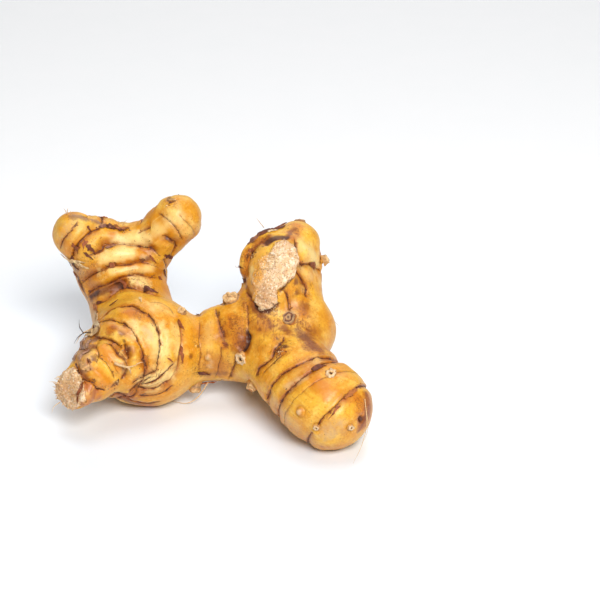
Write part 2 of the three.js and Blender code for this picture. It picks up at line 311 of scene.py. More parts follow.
# Blots of colour on the skin: (x, y, z, radius, strength), and a stroke's other end where it has one.
BLOTS = {
    "dark": [
        (18.5, 8.8, 52.4, 1, 0.8, (18.7, 10.6, 52.9)), (18.7, 10.6, 52.9, 1.4, 1, (20, 11.2, 53.4)),
        (20, 11.2, 53.4, 1.5, 1, (22.6, 12, 53.9)), (22.6, 12, 53.9, 1.2, 1, (24.3, 11.8, 54.2)),
        (24.3, 11.8, 54.2, 1, 0.9, (26, 11.6, 53.9)), (12.5, 10.9, 47.3, 0.9, 0.8, (11.9, 10.8, 46.3)),
        (13.7, 9.5, 48.5, 0.8, 0.7), (14.8, 13.6, 50.4, 0.9, 0.7),
        (-46.4, 20.7, 39.7, 1.1, 0.9, (-46.3, 22.1, 36.2)),
        (-45.3, 21.2, 34.1, 0.8, 0.8, (-43.2, 19.7, 29.6)),
        (-43.2, 19.7, 29.6, 0.8, 0.7, (-41.6, 18.9, 24.6)),
        (23.2, -17.4, 29.7, 0.8, 0.8, (25.4, -19.8, 29.4)), (22.8, -15.4, 30.2, 0.8, 0.7),
        (-3.6, -8.6, 23.6, 0.8, 0.9), (-40.8, 17.6, 28, 1.2, 0.8, (-38, 15, 31.3)),
        (-31.9, 13.6, 34.7, 1.1, 0.8, (-29.3, 13.5, 34.8)), (28.4, 7.5, 53.2, 0.8, 0.8, (28.9, 4.6, 52)),
        (23.5, -3.4, 41.4, 0.9, 0.9, (25.4, -2.4, 42.8)), (25.4, -2.4, 42.8, 0.8, 0.8, (28, -0.6, 44.8)),
        (15.2, -3.6, 36, 0.9, 1, (17.2, -5.8, 34.8)), (17.2, -5.8, 34.8, 0.9, 0.9, (20.2, -6, 35.4)),
        (20.2, -6, 35.4, 0.8, 0.8, (23, -4.8, 37.7)), (-26.9, -16.4, 30, 0.8, 0.8, (-26.7, -16.4, 28.4)),
        (12.7, -9.3, 29.6, 0.9, 0.9, (12.2, -11.9, 26.4)), (12.2, -11.9, 26.4, 1.1, 1, (11.4, -12.2, 24.4)),
        (24.2, -19, 29.4, 0.9, 0.8, (22.3, -19.6, 28.5)), (26.1, -20, 29.6, 0.8, 0.7),
        # The wide faint blots at (31.5, -13, 30.4) and (9, -11, 23) are painted shade, on the hub's right
        # side and under the neck.
        (23.1, -21.7, 27.9, 0.8, 0.8), (31.5, -13, 30.4, 5, 0.35), (9, -11, 23, 5, 0.3),
        (50, -38.7, 13.8, 1.5, 1), (-31.2, -23.2, 17, 0.9, 0.8, (-29.2, -22, 18)),
        (-14.8, 19.4, 48.8, 0.8, 0.7, (-11.9, 20.2, 46.4)),
    ],
    # Partly the skin's own darker tone, partly painted shade in hollows, valleys, the shoot's recess and the
    # hub's right side.
    "deep_tone_and_shade": [
        (51.5, -34.5, 17, 6, 1), (50, -37, 13, 5, 1), (30, -39.1, 16.8, 2.7, 0.9), (48.4, -37, 20, 4, 0.7),
        (-33.5, -24.5, 19, 3, 0.6), (24.5, -9.9, 32, 3.4, 0.7, (26.4, -13, 31)), (-1.5, -6, 26, 7, 0.5),
        (5.5, -7, 27, 7, 0.8), (10.5, -11, 25.5, 6, 1), (17.5, -9, 31, 6.5, 1),
        (32, -14, 30, 5, 1, (35, -19, 29)), (38, -36, 19, 7, 0.4), (13, 2, 34, 6, 0.7),
        (2, -10, 17, 8, 0.8), (16.5, -15, 27.5, 5, 0.6), (23, -14, 29, 5, 0.5), (27, -4, 37, 4, 0.7),
        (33.5, -11, 30, 5.5, 1), (31.5, -4, 35, 4.5, 1), (9.5, -5, 31, 4, 0.8, (10.5, -11, 26.5)),
        (32, 0, 37, 4, 0.5), (11.2, 9, 41, 3, 0.9), (24, -21, 28.5, 3.5, 0.9), (2, -10, 14, 7, 0.8),
        (30, -27, 23, 7, 0.5), (42, -40, 14, 8, 0.4), (-30.5, -12.5, 31.8, 3.4, 1),
        (-25.5, -6.5, 35.4, 3, 0.7), (-24.5, -19, 27, 2.4, 0.8), (12, -1, 35.5, 3, 0.8, (18, -5.5, 34.5)),
        (12, 10, 46.5, 3, 0.9), (16, 12.5, 51, 3, 1), (27, 11, 54, 3, 1), (29.5, -4, 36, 4, 0.7),
        (-31.5, -10, 33, 5, 0.8), (-26.5, -14, 32, 4, 0.7), (-40, 14, 30, 6, 0.6), (-46, 20, 36, 6, 0.6),
        (-17, 20, 36, 5, 0.6), (-28, -20, 16, 6, 0.4), (35, -9, 29, 6, 0.9), (38, -16, 26, 4, 0.7),
        (33, 0, 30, 5, 0.7),
    ],
    # Mostly painted highlights and painted light on the ball, the branch's bands, the lobes and the finger;
    # the first, by the shoot's broken face, is the thin skin's paler tone.
    "light": [
        (14.2, 5.2, 44.6, 2.2, 0.8, (13.9, 3, 42)), (-13.5, 19.7, 55.9, 4.5, 0.6, (-10.3, 19.4, 56)),
        (-33.5, 15, 39.5, 2.4, 0.55, (-25, 16.1, 39)), (-33.8, 22.7, 49, 2.6, 0.4, (-27.2, 23.7, 48.4)),
        (31.5, 1.4, 39.6, 2.2, 0.5), (-28.9, -18, 26.3, 2, 0.6, (-27.2, -19.3, 24.5)),
        (-24.5, -13.3, 33, 5, 0.8), (-17, -12, 31.5, 5.5, 0.8, (-15, -16, 26)),
        (-10.5, -9, 31, 3.5, 0.5, (-10, -14, 25)), (-17, -3, 36.5, 6, 0.5), (-17.5, 20.5, 51.8, 5, 0.5),
        (-20, -20, 16, 5, 0.7, (-12, -17, 18)), (-18, -18, 14, 6, 0.5), (-12, 22, 57, 5, 0.5),
        (-36, 18, 42.5, 3.6, 0.9, (-27, 18, 44.5)), (-37, 16.5, 38, 2.6, 0.7, (-20, 18, 38.5)),
        (-26, 14.5, 36.5, 2.4, 0.9, (-20, 15.5, 35)), (-30, 22, 48.5, 4.4, 0.8, (-22, 22, 48)),
        (-44, 22, 52.5, 5, 0.4), (31.5, 9, 51.5, 6, 0.6, (35, 11, 45)),
        (31, 3.5, 46.5, 2.8, 0.4, (33.5, 5, 42)), (35, -26, 28, 5, 0.4), (-16, -17, 22, 5, 0.5),
        (-8, 21, 52, 7, 0.5), (-0.5, -4, 29, 4, 0.3, (0, -8, 24)), (-12, 22, 48, 4, 0.4),
    ],
    "orange": [
        (-29, -0.5, 34.2, 2.6, 0.8, (-25.9, -3.4, 35.4)), (47.5, -36.5, 22, 3, 0.9, (49.5, -38.5, 14)),
        (6.8, -4.6, 30.9, 1.6, 0.9, (6.3, -5.8, 29.8)), (29, 16.8, 53.6, 2.4, 0.8, (30.6, 18.5, 53.8)),
        (-25, -7, 35.3, 3.6, 1), (-30.5, -12.5, 31.8, 2.8, 1), (-20, -7, 34, 2.4, 0.7),
        (-25.8, -13.6, 32.4, 3.6, 0.9), (28.7, 18.9, 54.1, 3.4, 1),
        (35, -36, 25, 4.2, 1, (39, -38.5, 23.5)), (50, -37.9, 16.8, 5, 1),
        (51, -35.5, 18, 4.5, 1, (50.5, -37.5, 12)), (46, -38, 20, 3, 0.7), (23.9, -21.2, 28.5, 2.8, 0.8),
        (9.7, -10.4, 25.8, 3.2, 0.5), (22, -27, 19, 2.4, 0.7), (-33, 23, 49.5, 2, 0.9),
        (-6, 22, 52, 2.4, 0.7), (-9, 20, 49, 2.4, 0.7), (-29, 14, 35.5, 2.4, 0.9), (-24, 14, 36, 2, 0.6),
        (31, 1, 40, 3, 0.4), (27, -4, 40, 3, 0.7), (11.8, 8.5, 42, 2.2, 1, (12.8, 11.5, 47.5)),
        (26.6, 15, 53.7, 2.2, 0.9, (28.6, 17, 54)), (15, 11, 50, 2.2, 1, (20, 12.5, 53)),
        (27.5, 10, 54, 2.2, 1, (29.5, 15, 53.5)), (7, -3, 32, 1.3, 1, (7, -6.5, 29.5)),
        (4.5, -9, 25, 1.6, 0.9, (6, -9.5, 22)), (-16, 21, 38, 2.6, 0.6), (13, -6, 31, 2.4, 0.6),
        (-12, -14, 26, 2, 0.6), (3, -6, 29, 2, 0.6), (5.5, -9.5, 20, 2.2, 0.4),
    ],
    "rusty": [
        (48.8, -37.4, 20.2, 2.6, 0.7, (49.8, -37.8, 15)), (22.9, -22.3, 27.5, 2.6, 1, (21.2, -19.5, 27.9)),
        (6.8, -4.6, 30.9, 1, 0.8, (6.3, -5.8, 29.8)), (18.4, -7.5, 33.2, 1.2, 0.8, (18.9, -9.4, 32)),
        (14.7, -4.1, 34.9, 1.5, 0.9, (18.5, -5.6, 35.6)), (13.3, 13.8, 49, 2.4, 0.7),
        (2.2, 0.4, 31, 1.4, 1, (4.4, -7, 28)), (4.4, -7, 28, 1.5, 1, (6, -9.4, 25)),
        (-3.2, -5.5, 26, 1.1, 0.8, (-3, -9.5, 21)), (-3, -9.5, 21, 1.8, 0.8, (-3.3, -10, 13.5)),
        (12.4, -2, 34.5, 1.3, 0.9, (12.8, -9, 29.6)), (7.7, -6.4, 29.9, 2.4, 1, (10.4, -10, 27)),
        (23.9, -21, 28.5, 3.4, 1), (31.5, -14, 30, 4, 1, (35, -20, 29)),
        (9, -5, 31.5, 3.6, 1, (10.5, -11, 26.5)), (4.5, -4, 30, 2.6, 0.8, (5.5, -9.5, 25)),
        (16, -7, 33.5, 3.6, 1, (22, -8, 33.5)), (22, -12, 31.5, 5, 0.6), (30, -8, 32.5, 5.5, 1),
        (12, 0, 36, 4, 0.9), (11.6, 8.5, 41, 2.6, 1, (12.4, 11.5, 46.5)),
        (13, 10.5, 48.5, 3.4, 1, (18.5, 12.5, 52.6)), (25, -18.5, 29.3, 4, 1), (50, -36, 15, 5.5, 0.8),
        (-22, -7, 35, 3.5, 0.7), (-31, -13, 32, 3, 0.4), (-44, 19, 36, 7, 0.8),
        (-30, 14, 34, 5, 0.9, (-20, 14, 33)), (-12, 24, 59, 3.5, 0.7), (-4, -8, 25, 3, 0.6),
        (-3, -10, 16, 5, 0.8), (6, -10, 18, 5, 0.5), (32, 2, 40, 4, 0.9), (28, 17, 54, 4, 0.9),
        (37, 14, 40, 4, 0.6), (-38, 21, 47, 4, 0.7, (-40, 18, 42)), (-18, 19, 41, 4, 0.6),
        (-14, 22, 46, 4, 0.6), (-11, -10, 27, 1.8, 0.7, (-11, -15, 20)), (16, -15.5, 18, 4, 0.6),
        (30, -34, 8, 6, 0.6), (42, -28, 26, 4, 0.5), (-22, -16, 9, 6, 0.3),
        (24.4, -18.5, 29.6, 3, 1, (23, -21.5, 28)), (50.5, -36, 16, 5, 0.9), (27, 5.6, 53, 2.6, 0.9),
    ],
    "brown": [
        (51.5, -35, 17.5, 3, 0.5, (50.8, -37.4, 11)), (51, -33.4, 20.6, 1.8, 0.5, (52, -34, 17.5)),
        (-40.8, 17.6, 28, 2.4, 0.9, (-35, 13.9, 32.9)), (-35, 13.9, 32.9, 2.2, 1, (-30, 13.7, 35)),
        (3.6, -5.5, 28.7, 1.1, 0.8, (4.6, -8, 26.4)), (4.6, -8, 26.4, 1.2, 0.8, (5.8, -9.6, 24.2)),
        (7.1, -4.2, 31.4, 1.3, 0.6, (7.6, -6.2, 30)), (20.8, -7, 34.4, 1.4, 0.6, (22.6, -5, 37)),
        # The wide ones on the hub's right side, at (31, -13, 30.4), (34, -10.5, 30.5) and (32.4, -13.7,
        # 29.5), are painted shade.
        (11.8, 6.2, 38, 1.3, 0.7, (14.4, -2.4, 36.8)), (31, -13, 30.4, 4.4, 0.8, (34.5, -19, 29)),
        (34, -10.5, 30.5, 4, 0.7), (-24.5, -5, 36, 1, 0.8, (-21, -6.6, 35)), (-25.8, -18.6, 27.4, 1.7, 1),
        (12.7, -8.5, 29.8, 0.9, 1, (11.8, -12, 25)), (51.1, -33, 20, 1.4, 0.8, (51.7, -36, 14)),
        (51.5, -37, 14, 1.6, 0.9, (49, -39.3, 9.8)), (-2, -9, 13, 2.2, 0.5, (5, -9, 13)),
        (31.8, -3, 35.8, 3, 0.6), (10.5, -9.5, 28.6, 2.2, 0.6, (10.6, -12, 24.5)),
        (-30.2, -12.6, 32.3, 1.6, 0.6), (11.8, -10.5, 28, 1.6, 0.9, (10, -12, 23.5)),
        (14, -3, 35.8, 1.8, 1, (17, -6.2, 34.2)), (17, -6.2, 34.2, 1.9, 1, (22.2, -5, 37)),
        (-40.5, 16, 29.5, 1.8, 0.7, (-30, 13.8, 35.4)), (16.2, -7.5, 32.5, 0.35, 1, (16.3, -9.2, 31.5)),
        (20, -9.5, 32, 0.3, 1, (20.2, -11, 31.4)), (49, -39.6, 10.8, 1.6, 0.7), (14, 9, 47.5, 1.3, 0.9),
        (15, 11, 50, 2.4, 0.9, (20, 12.3, 53)), (28.7, -0.1, 43, 1.6, 1), (29, -1.2, 39.5, 1.5, 0.9),
        (50.9, -34.6, 19, 2.2, 0.7, (52.3, -35.1, 13.1)), (25, -10.8, 31.7, 2.2, 0.8, (25.7, -12.5, 31.2)),
        (32.4, -13.7, 29.5, 3.2, 0.8), (16.7, -10.4, 30.6, 0.9, 0.9),
        (26.6, 15, 53.7, 1.3, 0.8, (28.4, 17, 54)), (29, 14.6, 53.2, 1.2, 0.7),
        (16.6, -5, 34.7, 1.6, 0.8, (18.2, -6.7, 33.8)), (19.8, -7.7, 33, 1.2, 0.8, (20.6, -10.2, 31.7)),
        (22.2, -9.9, 32, 1, 0.8), (-27.5, -15, 31.5, 1.8, 0.8), (-37, -16, 28, 3, 0.7),
        (29.3, 0.6, 42.9, 0.9, 1), (50.5, -37.5, 13, 2.2, 0.9), (22.5, -20, 28.2, 1.2, 1),
        (25.3, -19, 29.6, 1, 1), (23.8, -22.6, 27.6, 0.9, 0.9), (18, 8.3, 52.2, 1.2, 1, (21.1, 10.5, 53.8)),
        (21.1, 10.5, 53.8, 1.2, 1, (24.2, 10.4, 54.4)), (24.2, 10.4, 54.4, 1.1, 1, (27, 13.8, 53.8)),
        (50, -38.7, 13.5, 1.7, 1), (52, -35, 16.5, 1.5, 0.9, (51.5, -36.6, 13.6)),
        (-5.7, -11.4, 21.5, 1.2, 1), (-26.3, -18.3, 27.7, 1.2, 1), (-14, 26, 60, 1.6, 0.6),
        (14, -16.5, 13.5, 1.6, 0.7), (27, -6.5, 34, 2.6, 0.5),
    ],
    "pink": [
        (-27.5, -16.4, 7.7, 6, 0.8), (-19.9, -10, 2.5, 6, 0.8), (-24.3, -18.5, 28, 2, 0.7),
        (-38, -27, 19, 2.6, 1), (-36, -26.5, 17, 3, 1, (-39.5, -28.5, 14)), (-35, -25, 13.5, 2.4, 0.7),
        (44, -39, 21.8, 2.6, 0.7), (40, -40, 4, 5, 0.4), (33, -36, 3, 4, 0.4), (-40, -9, 20, 5, 0.4),
    ],
    "pale": [
        (-0.4, -9.6, 19.9, 1.2, 0.9), (0.4, -9.7, 16.5, 1.7, 0.7),
        (-18.6, -14.7, 30.7, 2.2, 0.8, (-20.2, -13.1, 32.4)), (30, -39.1, 16.8, 1.3, 1),
        (22, -30.5, 15, 4, 0.5, (26, -36, 12)), (29, -38, 11, 5, 0.4), (39, -43.4, 11.5, 5, 0.5),
        (43, -43, 15, 3.5, 0.5), (25.6, -32.5, 22.3, 2.4, 0.6, (31, -33, 26)), (-48, 22, 51, 5, 0.4),
        (-44, 20, 38, 5, 0.4), (-0.3, -9.6, 19.7, 1.2, 0.5, (1, -9.8, 17.8)), (27.5, -6.5, 34, 3.2, 0.9),
        (29.5, -10.5, 31.4, 2.4, 0.4), (-22.3, 18.6, 42.4, 1.8, 1),
        (10, 11, 38, 0.9, 0.9, (10.5, 12.5, 43)), (10.5, 12.5, 43, 0.9, 0.9, (11.5, 14, 47.5)),
        (11.5, 14, 47.5, 0.9, 0.9, (14, 15.5, 50.8)), (-25.2, -18.6, 28.4, 2, 0.6),
    ],
    "purple": [
        (-46.7, 25, 54.8, 2.2, 0.85, (-41.9, 25, 54)), (-39.7, 26, 53, 2, 0.8, (-37.4, 26, 52)),
        (-29.7, -14.1, 6.3, 2, 0.9, (-23, -12.4, 3.3)), (-23, -12.4, 3.3, 1.6, 0.7, (-18.5, -13.4, 4.4)),
        (-21, 18.8, 42, 1.2, 0.9, (-19, 19, 41)), (-26, -18.6, 27.6, 1.5, 1), (20, 10, 53.4, 1.8, 0.9),
        (22.6, 10.6, 54, 1.6, 0.9), (-38.9, -15.9, 26.3, 3, 0.9), (-37.2, -11.4, 28.4, 2.2, 0.7),
        (-40.5, -12, 25, 3, 0.5), (-36.6, -20.5, 25.7, 1.5, 0.9), (-41, -19, 23.4, 2.4, 0.4),
        (-41.2, -23.6, 23, 1.4, 0.8, (-38.5, -25.6, 21.6)),
        (-27.2, -21.4, 19.5, 1.3, 0.7, (-27, -20.6, 23.5)),
    ],
    "flesh": [
        (-34, -17.4, 27.2, 3.2, 1, (-31.2, -19.6, 25)), (-29, -21, 22.5, 3, 1),
        (-33.4, -24.2, 19.4, 3.8, 1), (-35.4, -23.4, 21.6, 3.2, 1), (-31.6, -23.4, 17.4, 2.6, 1),
    ],
    "cork": [
        (-38.9, -23, 23.9, 3, 1), (-40.5, -9, 25, 5.5, 0.9, (-40, -18, 24.5)), (-38, -12, 28, 3, 0.9),
        (-48, 23, 50, 8, 0.35), (-46, 20, 38, 9, 0.35), (-42, 14, 29, 6, 0.3), (27, -33, 14, 8, 0.3),
        (40, -43, 13, 7, 0.4), (33, -38, 8, 8, 0.3),
    ],
    "yellow": [
        (14.4, 5.1, 44.6, 3, 1, (13.8, 6.4, 42.6)), (13.4, 5.5, 44, 4, 0.8), (16.4, 5.5, 49.5, 5.4, 1),
        (14.6, 3, 45, 6.4, 1), (13.4, 0.5, 39, 4.8, 1), (13, 6.5, 47, 4.5, 1),
    ],
    "streaky": [
        (17, -8.5, 32, 3.2, 1), (21, -10.5, 32, 3.6, 1), (7, -5, 30.8, 2.4, 1), (17, -14.5, 28.5, 5, 0.5),
        (23, -15, 30, 4, 0.6), (27, -2, 40, 4, 0.6), (33, 2, 39, 4, 0.8),
        (11.8, 9, 42, 2.4, 1, (12.8, 11.5, 47)), (30, -9, 32, 4, 0.8), (20, -4.5, 36, 3, 0.8),
        (-1.5, -9.5, 20, 4, 0.5), (-22, -8, 35, 4, 0.6),
    ],
    "buff": [(-45, -25, 17, 8, 1), (18.5, -3.2, 39.2, 5.4, 1), (25.5, 6, 53.5, 3, 0.7)],
}

# Papery remains of leaf sheaths: (start, end, width, colour, lift of the middle, lift of the edge, taper).
SHEETS = [
    ((-41.5, 18.5, 47), (-38.5, 18, 44.5), 2.6, "dark", 0.1, 0.3, 0.6),
    ((-42.5, 18.5, 44.5), (-39.5, 17.5, 42.5), 1.6, "dark", 0.1, 0.2, 0.7),
    ((-35.5, 19.5, 46), (-31.5, 20.5, 47), 1.3, "purple", 0.15, 0.3, 0.2),
    ((-46.2, 18.7, 47.5), (-45, 18.8, 43.8), 2.8, "red", 0.1, 0.25, 0.9),
    ((-41.8, 19.6, 48.6), (-42.6, 18.6, 45.4), 2.4, "red", 0.1, 0.3, 0.9),
    ((-41, 22.5, 52.3), (-39.8, 21.8, 50.6), 1.8, "dark", 0.1, 0.3, 0.9),
    ((-37.5, 24.5, 51), (-33, 27, 50.5), 2, "purple", 0.2, 0.5, 0.1),
    ((-32.5, 27, 50.2), (-28, 27, 49.8), 1.5, "sheath", 0.2, 0.8, 0.3),
    ((-34.8, 25.8, 51), (-31.8, 26.2, 50.4), 1.6, "dark", 0.2, 0.6, 0.5),
    ((-31.5, 26, 50), (-29.5, 25.5, 49.5), 1.6, "dark", 0.2, 0.8, 0.7),
    ((-34, 15.5, 40.8), (-32, 15.5, 41.2), 1.2, "red", 0.1, 0.2, 0.7),
    ((-20.5, 19.5, 42.8), (-18.5, 19.5, 39.8), 1.6, "red", 0.15, 0.4, 0.7),
    ((-21.8, 13.5, 34), (-18, 13.5, 31.5), 2.6, "dark", 0.12, 0.3, 0.7),
    ((-31, 13.8, 35.6), (-28.5, 13.4, 35), 2, "red", 0.1, 0.2, 0.7),
    ((-38.5, 13, 28), (-35.5, 11.5, 30.5), 1.7, "dark", 0.1, 0.2, 0.7),
    ((-33.5, 6, 31.5), (-31, 7.5, 32.8), 1.2, "dark", 0.1, 0.2, 0.7),
    ((-49, 24.5, 38), (-48.5, 25, 35.5), 1, "dark", 0.1, 0.2, 0.7),
    ((-47, 22, 37.8), (-44.5, 19.5, 37.2), 1.2, "dark", 0.1, 0.2, 0.7),
    ((-47, 24.5, 34), (-45, 21.5, 33.6), 1.8, "red", 0.1, 0.2, 0.7),
    ((-15.5, 20.5, 42.8), (-13.5, 24, 39.5), 1.8, "dark", 0.15, 0.4, 0.2),
    ((-16.5, 22.5, 36), (-15.5, 25, 32), 1.7, "dark", 0.1, 0.3, 0.7),
    ((-17.5, 20, 34.4), (-16.8, 21, 32.8), 1.3, "red", 0.1, 0.2, 0.7),
    ((-14.5, 27, 60), (-11.5, 24.5, 60), 1.2, "tan", 0.1, 0.3, 0.3),
    ((-13.5, 24, 59.6), (-12, 24, 60), 1, "dark", 0.1, 0.3, 0.7),
    ((-9.5, -5.5, 31.8), (-8, -7, 29), 1.8, "red", 0.15, 0.3, 0.7),
    ((-9, -12, 26), (-8.3, -14.2, 20.5), 1.7, "red", 0.15, 0.4, 0.1),
    ((-13, -16.5, 23.5), (-11, -16, 21.5), 0.9, "red", 0.1, 0.2, 0.7),
    ((-3.5, -10.5, 14.8), (0.2, -8.8, 12.8), 1.8, "dark", 0.15, 0.3, 0.7),
    ((4.5, -9, 25), (6.5, -9.5, 24.5), 1.3, "red", 0.1, 0.2, 0.7),
    ((17, 19.5, 53.2), (21.5, 21.5, 53), 1.7, "purple", 0.2, 0.6, 0.1),
    ((21, 21, 53.2), (25.5, 21, 53.5), 2, "red", 0.2, 0.6, 0.7),
    ((33, 7, 46.2), (36, 10, 44), 2.2, "red", 0.1, 0.25, -0.6),
    ((13.2, 12.2, 48.6), (14.6, 10, 49), 2.1, "red", 0.1, 0.3, 0.7),
    ((10.2, 12.6, 42.4), (11.2, 9.6, 43), 0.9, "dark", 0.1, 0.2, 0.7),
    ((10.5, 11, 38.2), (12.5, 7, 39.5), 1.3, "dark", 0.1, 0.3, 0.7),
    ((28, 3.4, 50.4), (29.6, 4.2, 49.8), 0.8, "dark", 0.2, 0.4, 0.7),
    ((34, -30, 27.8), (38.5, -28, 28.2), 2, "dark", 0.12, 0.25, 0.7),
    ((42.5, -41, 20.5), (39, -43, 16.5), 1.3, "red", 0.1, 0.3, 0.7),
    ((48.5, -34.5, 23), (44.5, -38.8, 22), 1.1, "sheath", 0.1, 0.3, 0.2),
    # the bud's overlapping scales, its dry patch and the torn sheath below it
    ((-40.8, -7, 26), (-41.6, -12, 24.8), 2.4, "mauve", 0.2, 0.6, 0.4),
    ((-38.4, -11, 28.2), (-39.2, -15.5, 26.8), 2.2, "mauve", 0.2, 0.6, 0.4),
    ((-42.4, -14, 23.4), (-42, -19, 23.2), 2, "mauve", 0.2, 0.6, 0.4),
    ((-38.6, -16.5, 26.4), (-40.6, -20.2, 24.4), 2.4, "mauve", 0.15, 0.5, 0.5),
    ((-40.9, -20.4, 24.4), (-38.4, -24, 23.2), 2.8, "tan", 0.15, 0.2, 0),
    ((-39.8, -27, 21.2), (-41.4, -29.2, 14.6), 1.3, "red", 0.2, 0.7, 0.2),
    # papery tufts on the joint's far shoulder
    ((-41, -4, 26), (-34.5, -10.5, 30.5), 3.6, "pale", 0.35, 1.1, 0.1),
    ((-38.6, 5, 26.6), (-37.4, -2.5, 28.8), 2.2, "pale", 0.25, 0.6, 0.6),
    ((-40, 14.5, 27.2), (-38.6, 8, 27.4), 2.6, "sheath", 0.2, 0.6, 0.7),
    ((-38.4, 9.5, 27), (-38, 3.5, 27.6), 1.6, "pale", 0.25, 0.8, 0.5),
    ((-37.4, -3, 29.2), (-34.6, -9.5, 31), 1.9, "cream", 0.4, 0.9, 0.4),
    ((-50.5, 24, 40.5), (-42, 18, 41), 1.1, "pale", 0.35, 0.5, 0.1),
    ((-46, 19.5, 40), (-41, 17, 39), 1.4, "pale", 0.25, 0.5, 0.2),
    ((-22.9, 1.6, 36), (-22.1, -1.8, 36.3), 1, "pale", 0.15, 0.4, 0.4),
    ((-11, 0, 32), (-8.5, -0.8, 31), 1.6, "pale", 0.3, 0.9, 0.3),
    ((-4, -6, 6.4), (2, -5.5, 6.6), 2.6, "red", 0.3, 1, 0.2),
    ((13.4, 14, 49.4), (16.9, 15.2, 52.2), 1.5, "purple", 0.15, 0.4, 0.2),
    ((16.4, 15, 52), (20.6, 16.4, 53.5), 1.9, "dark", 0.15, 0.4, 0.2),
    ((20.2, 16.2, 53.5), (25, 18.6, 53.9), 1.7, "dark", 0.15, 0.5, 0.2),
    ((19.5, 14.8, 53.2), (22.6, 15.6, 53.6), 1.2, "cream", 0.2, 0.6, 0.3),
    ((-46.7, 19.6, 42.4), (-46.6, 21.4, 38.4), 1.3, "dark", 0.12, 0.3, 0.6),
    ((-44.6, 20.8, 32.6), (-43.2, 19.6, 29.4), 1.2, "red", 0.12, 0.4, 0.6),
]

# Stubs of broken roots: (place on the skin, way out, radius, height, kind).
STUBS = [
    ((10.7, -12.7, 21), (-0.5, -0.85, 0.1), 1.9, 0.8, "star"),
    ((7.4, 4.5, 33.8), (-0.3, -0.35, 0.9), 2.3, 2, "tan"),
    ((26.4, -7.3, 33.4), (-0.1, -0.6, 0.8), 2, 1.1, "grey"),
    ((39.9, -32, 26.9), (0.12, -0.5, 0.85), 1.6, 0.8, "star"),
    ((13.9, -15.2, 11.9), (-0.5, -0.7, -0.5), 1.7, 2, "bud"),
    ((-9.3, -0.4, 31.8), (0.1, -0.5, 0.85), 1.3, 1.4, "tan"),
    ((35.1, -42.8, 13.1), (-0.2, -0.97, 0.1), 0.8, 0.5, "star"),
    ((45.8, -42, 12.9), (0.5, -0.85, 0.1), 0.9, 0.5, "star"),
    ((38.2, 17.2, 42.2), (0.9, 0.1, 0.4), 1.3, 1.3, "star"),
    ((-4.5, -5.5, 6), (-0.1, -0.6, -0.8), 1.8, 2.4, "tan"),
]

# Rootlets and loose fibres: (thickness at the start, points).
ROOTLETS = [
    (0.55, [(-29.8, -21.6, 24.6), (-27.8, -22.4, 24.2), (-25.4, -22.6, 23.7), (-22.6, -21.6, 24)]),
    (0.42, [(-25.6, -22.4, 23.7), (-24.9, -22.6, 22.6), (-24.6, -22.2, 21)]),
    (0.22, [(-22.9, -21, 23.8), (-21.6, -20.8, 24.4), (-20.6, -20.4, 24.2)]),
    (0.16, [(-48.6, 27, 54.2), (-48.8, 27, 55.6), (-49.4, 26.6, 57)]),
    (0.20, [(-48.2, 26.6, 54.3), (-48.2, 26.4, 55.8), (-47.8, 26, 57.4)]),
    (0.14, [(-47.4, 26.6, 54.4), (-47.2, 26.3, 55.6), (-46.9, 26, 56.6)]),
    (0.14, [(-29.8, 26.4, 50.6), (-29.2, 26, 52), (-28, 25.6, 53.2)]),
    (0.12, [(-31, 26.4, 50.8), (-31.2, 26, 52), (-30.6, 25.6, 52.8)]),
    (0.14, [(50.6, -36.5, 20), (51.2, -40.5, 13), (49.4, -43.5, 6.5), (46.8, -45.4, 1.4)]),
    (0.10, [(51, -37, 17), (51.6, -41, 12), (50.4, -43.4, 9)]),
    (0.16, [(18, 20.6, 52.6), (16.4, 21, 54.6), (15.4, 21, 56.2)]),
    (0.12, [(10.2, 12.6, 42), (8.8, 11.6, 42.4), (8.4, 11, 43.4)]),
    (0.20, [(-38.4, -3, 27.4), (-42, -5, 26), (-43.6, -8.6, 24.4)]),
    (0.18, [(-38.6, 8, 27), (-36.9, -1, 31), (-36, -8, 32.2)]),
    (0.14, [(-47.4, -27.6, 13.6), (-49.4, -28.6, 12.4), (-50.2, -29, 10.2)]),
    (0.12, [(-47, -27, 20), (-49, -27.4, 21), (-50.6, -27.8, 21.2)]),
    (0.22, [(-0.5, -5, 8), (-4, -6.5, 3), (-8, -6.6, 0.6), (-13, -5, 0.5)]),
]

# Dark curled ones by the joint's papery tufts, in the same form.
DARK_ROOTLETS = [
    (0.22, [(-38.6, -7, 28), (-41, -6.6, 27.4), (-43.0, -8.0, 26.4), (-44, -10.2, 25.4)]),
    (0.18, [(-41, -6.8, 27.4), (-42.4, -5.5, 29), (-42.6, -4, 31)]),
]


# ---------------- Points, lines and planes ----------------


def unit(vectors):
    vectors = np.asarray(vectors, float)
    return vectors / np.maximum(np.linalg.norm(vectors, axis=-1, keepdims=True), 1e-9)


def smooth(values, low, high):
    """0 below low and 1 above high, with a soft rise between them."""
    t = np.clip((values - low) / (high - low), 0, 1)
    return t * t * (3 - 2 * t)


def hump(values, middle, width):
    """1 at the middle, falling off to both sides."""
    return np.exp(-(((values - middle) / width) ** 2))


def off_ends(share, low, high):
    """1 along most of a line, falling off to both its ends."""
    return smooth(share, low, high) * smooth(1 - share, low, high)


def curve(knots, steps):
    """The knots filled in along a smooth curve."""
    knots = np.array(knots, float)
    ends = np.vstack([2 * knots[0] - knots[1], knots, 2 * knots[-1] - knots[-2]])
    filled = []
    for a, b, c, d in zip(ends, ends[1:], ends[2:], ends[3:]):
        for t in np.arange(steps) / steps:
            bend = (2 * a - 5 * b + 4 * c - d) * t * t + (3 * b - a - 3 * c + d) * t**3
            filled.append(b + 0.5 * ((c - a) * t + bend))
    return np.array([*filled, knots[-1]])


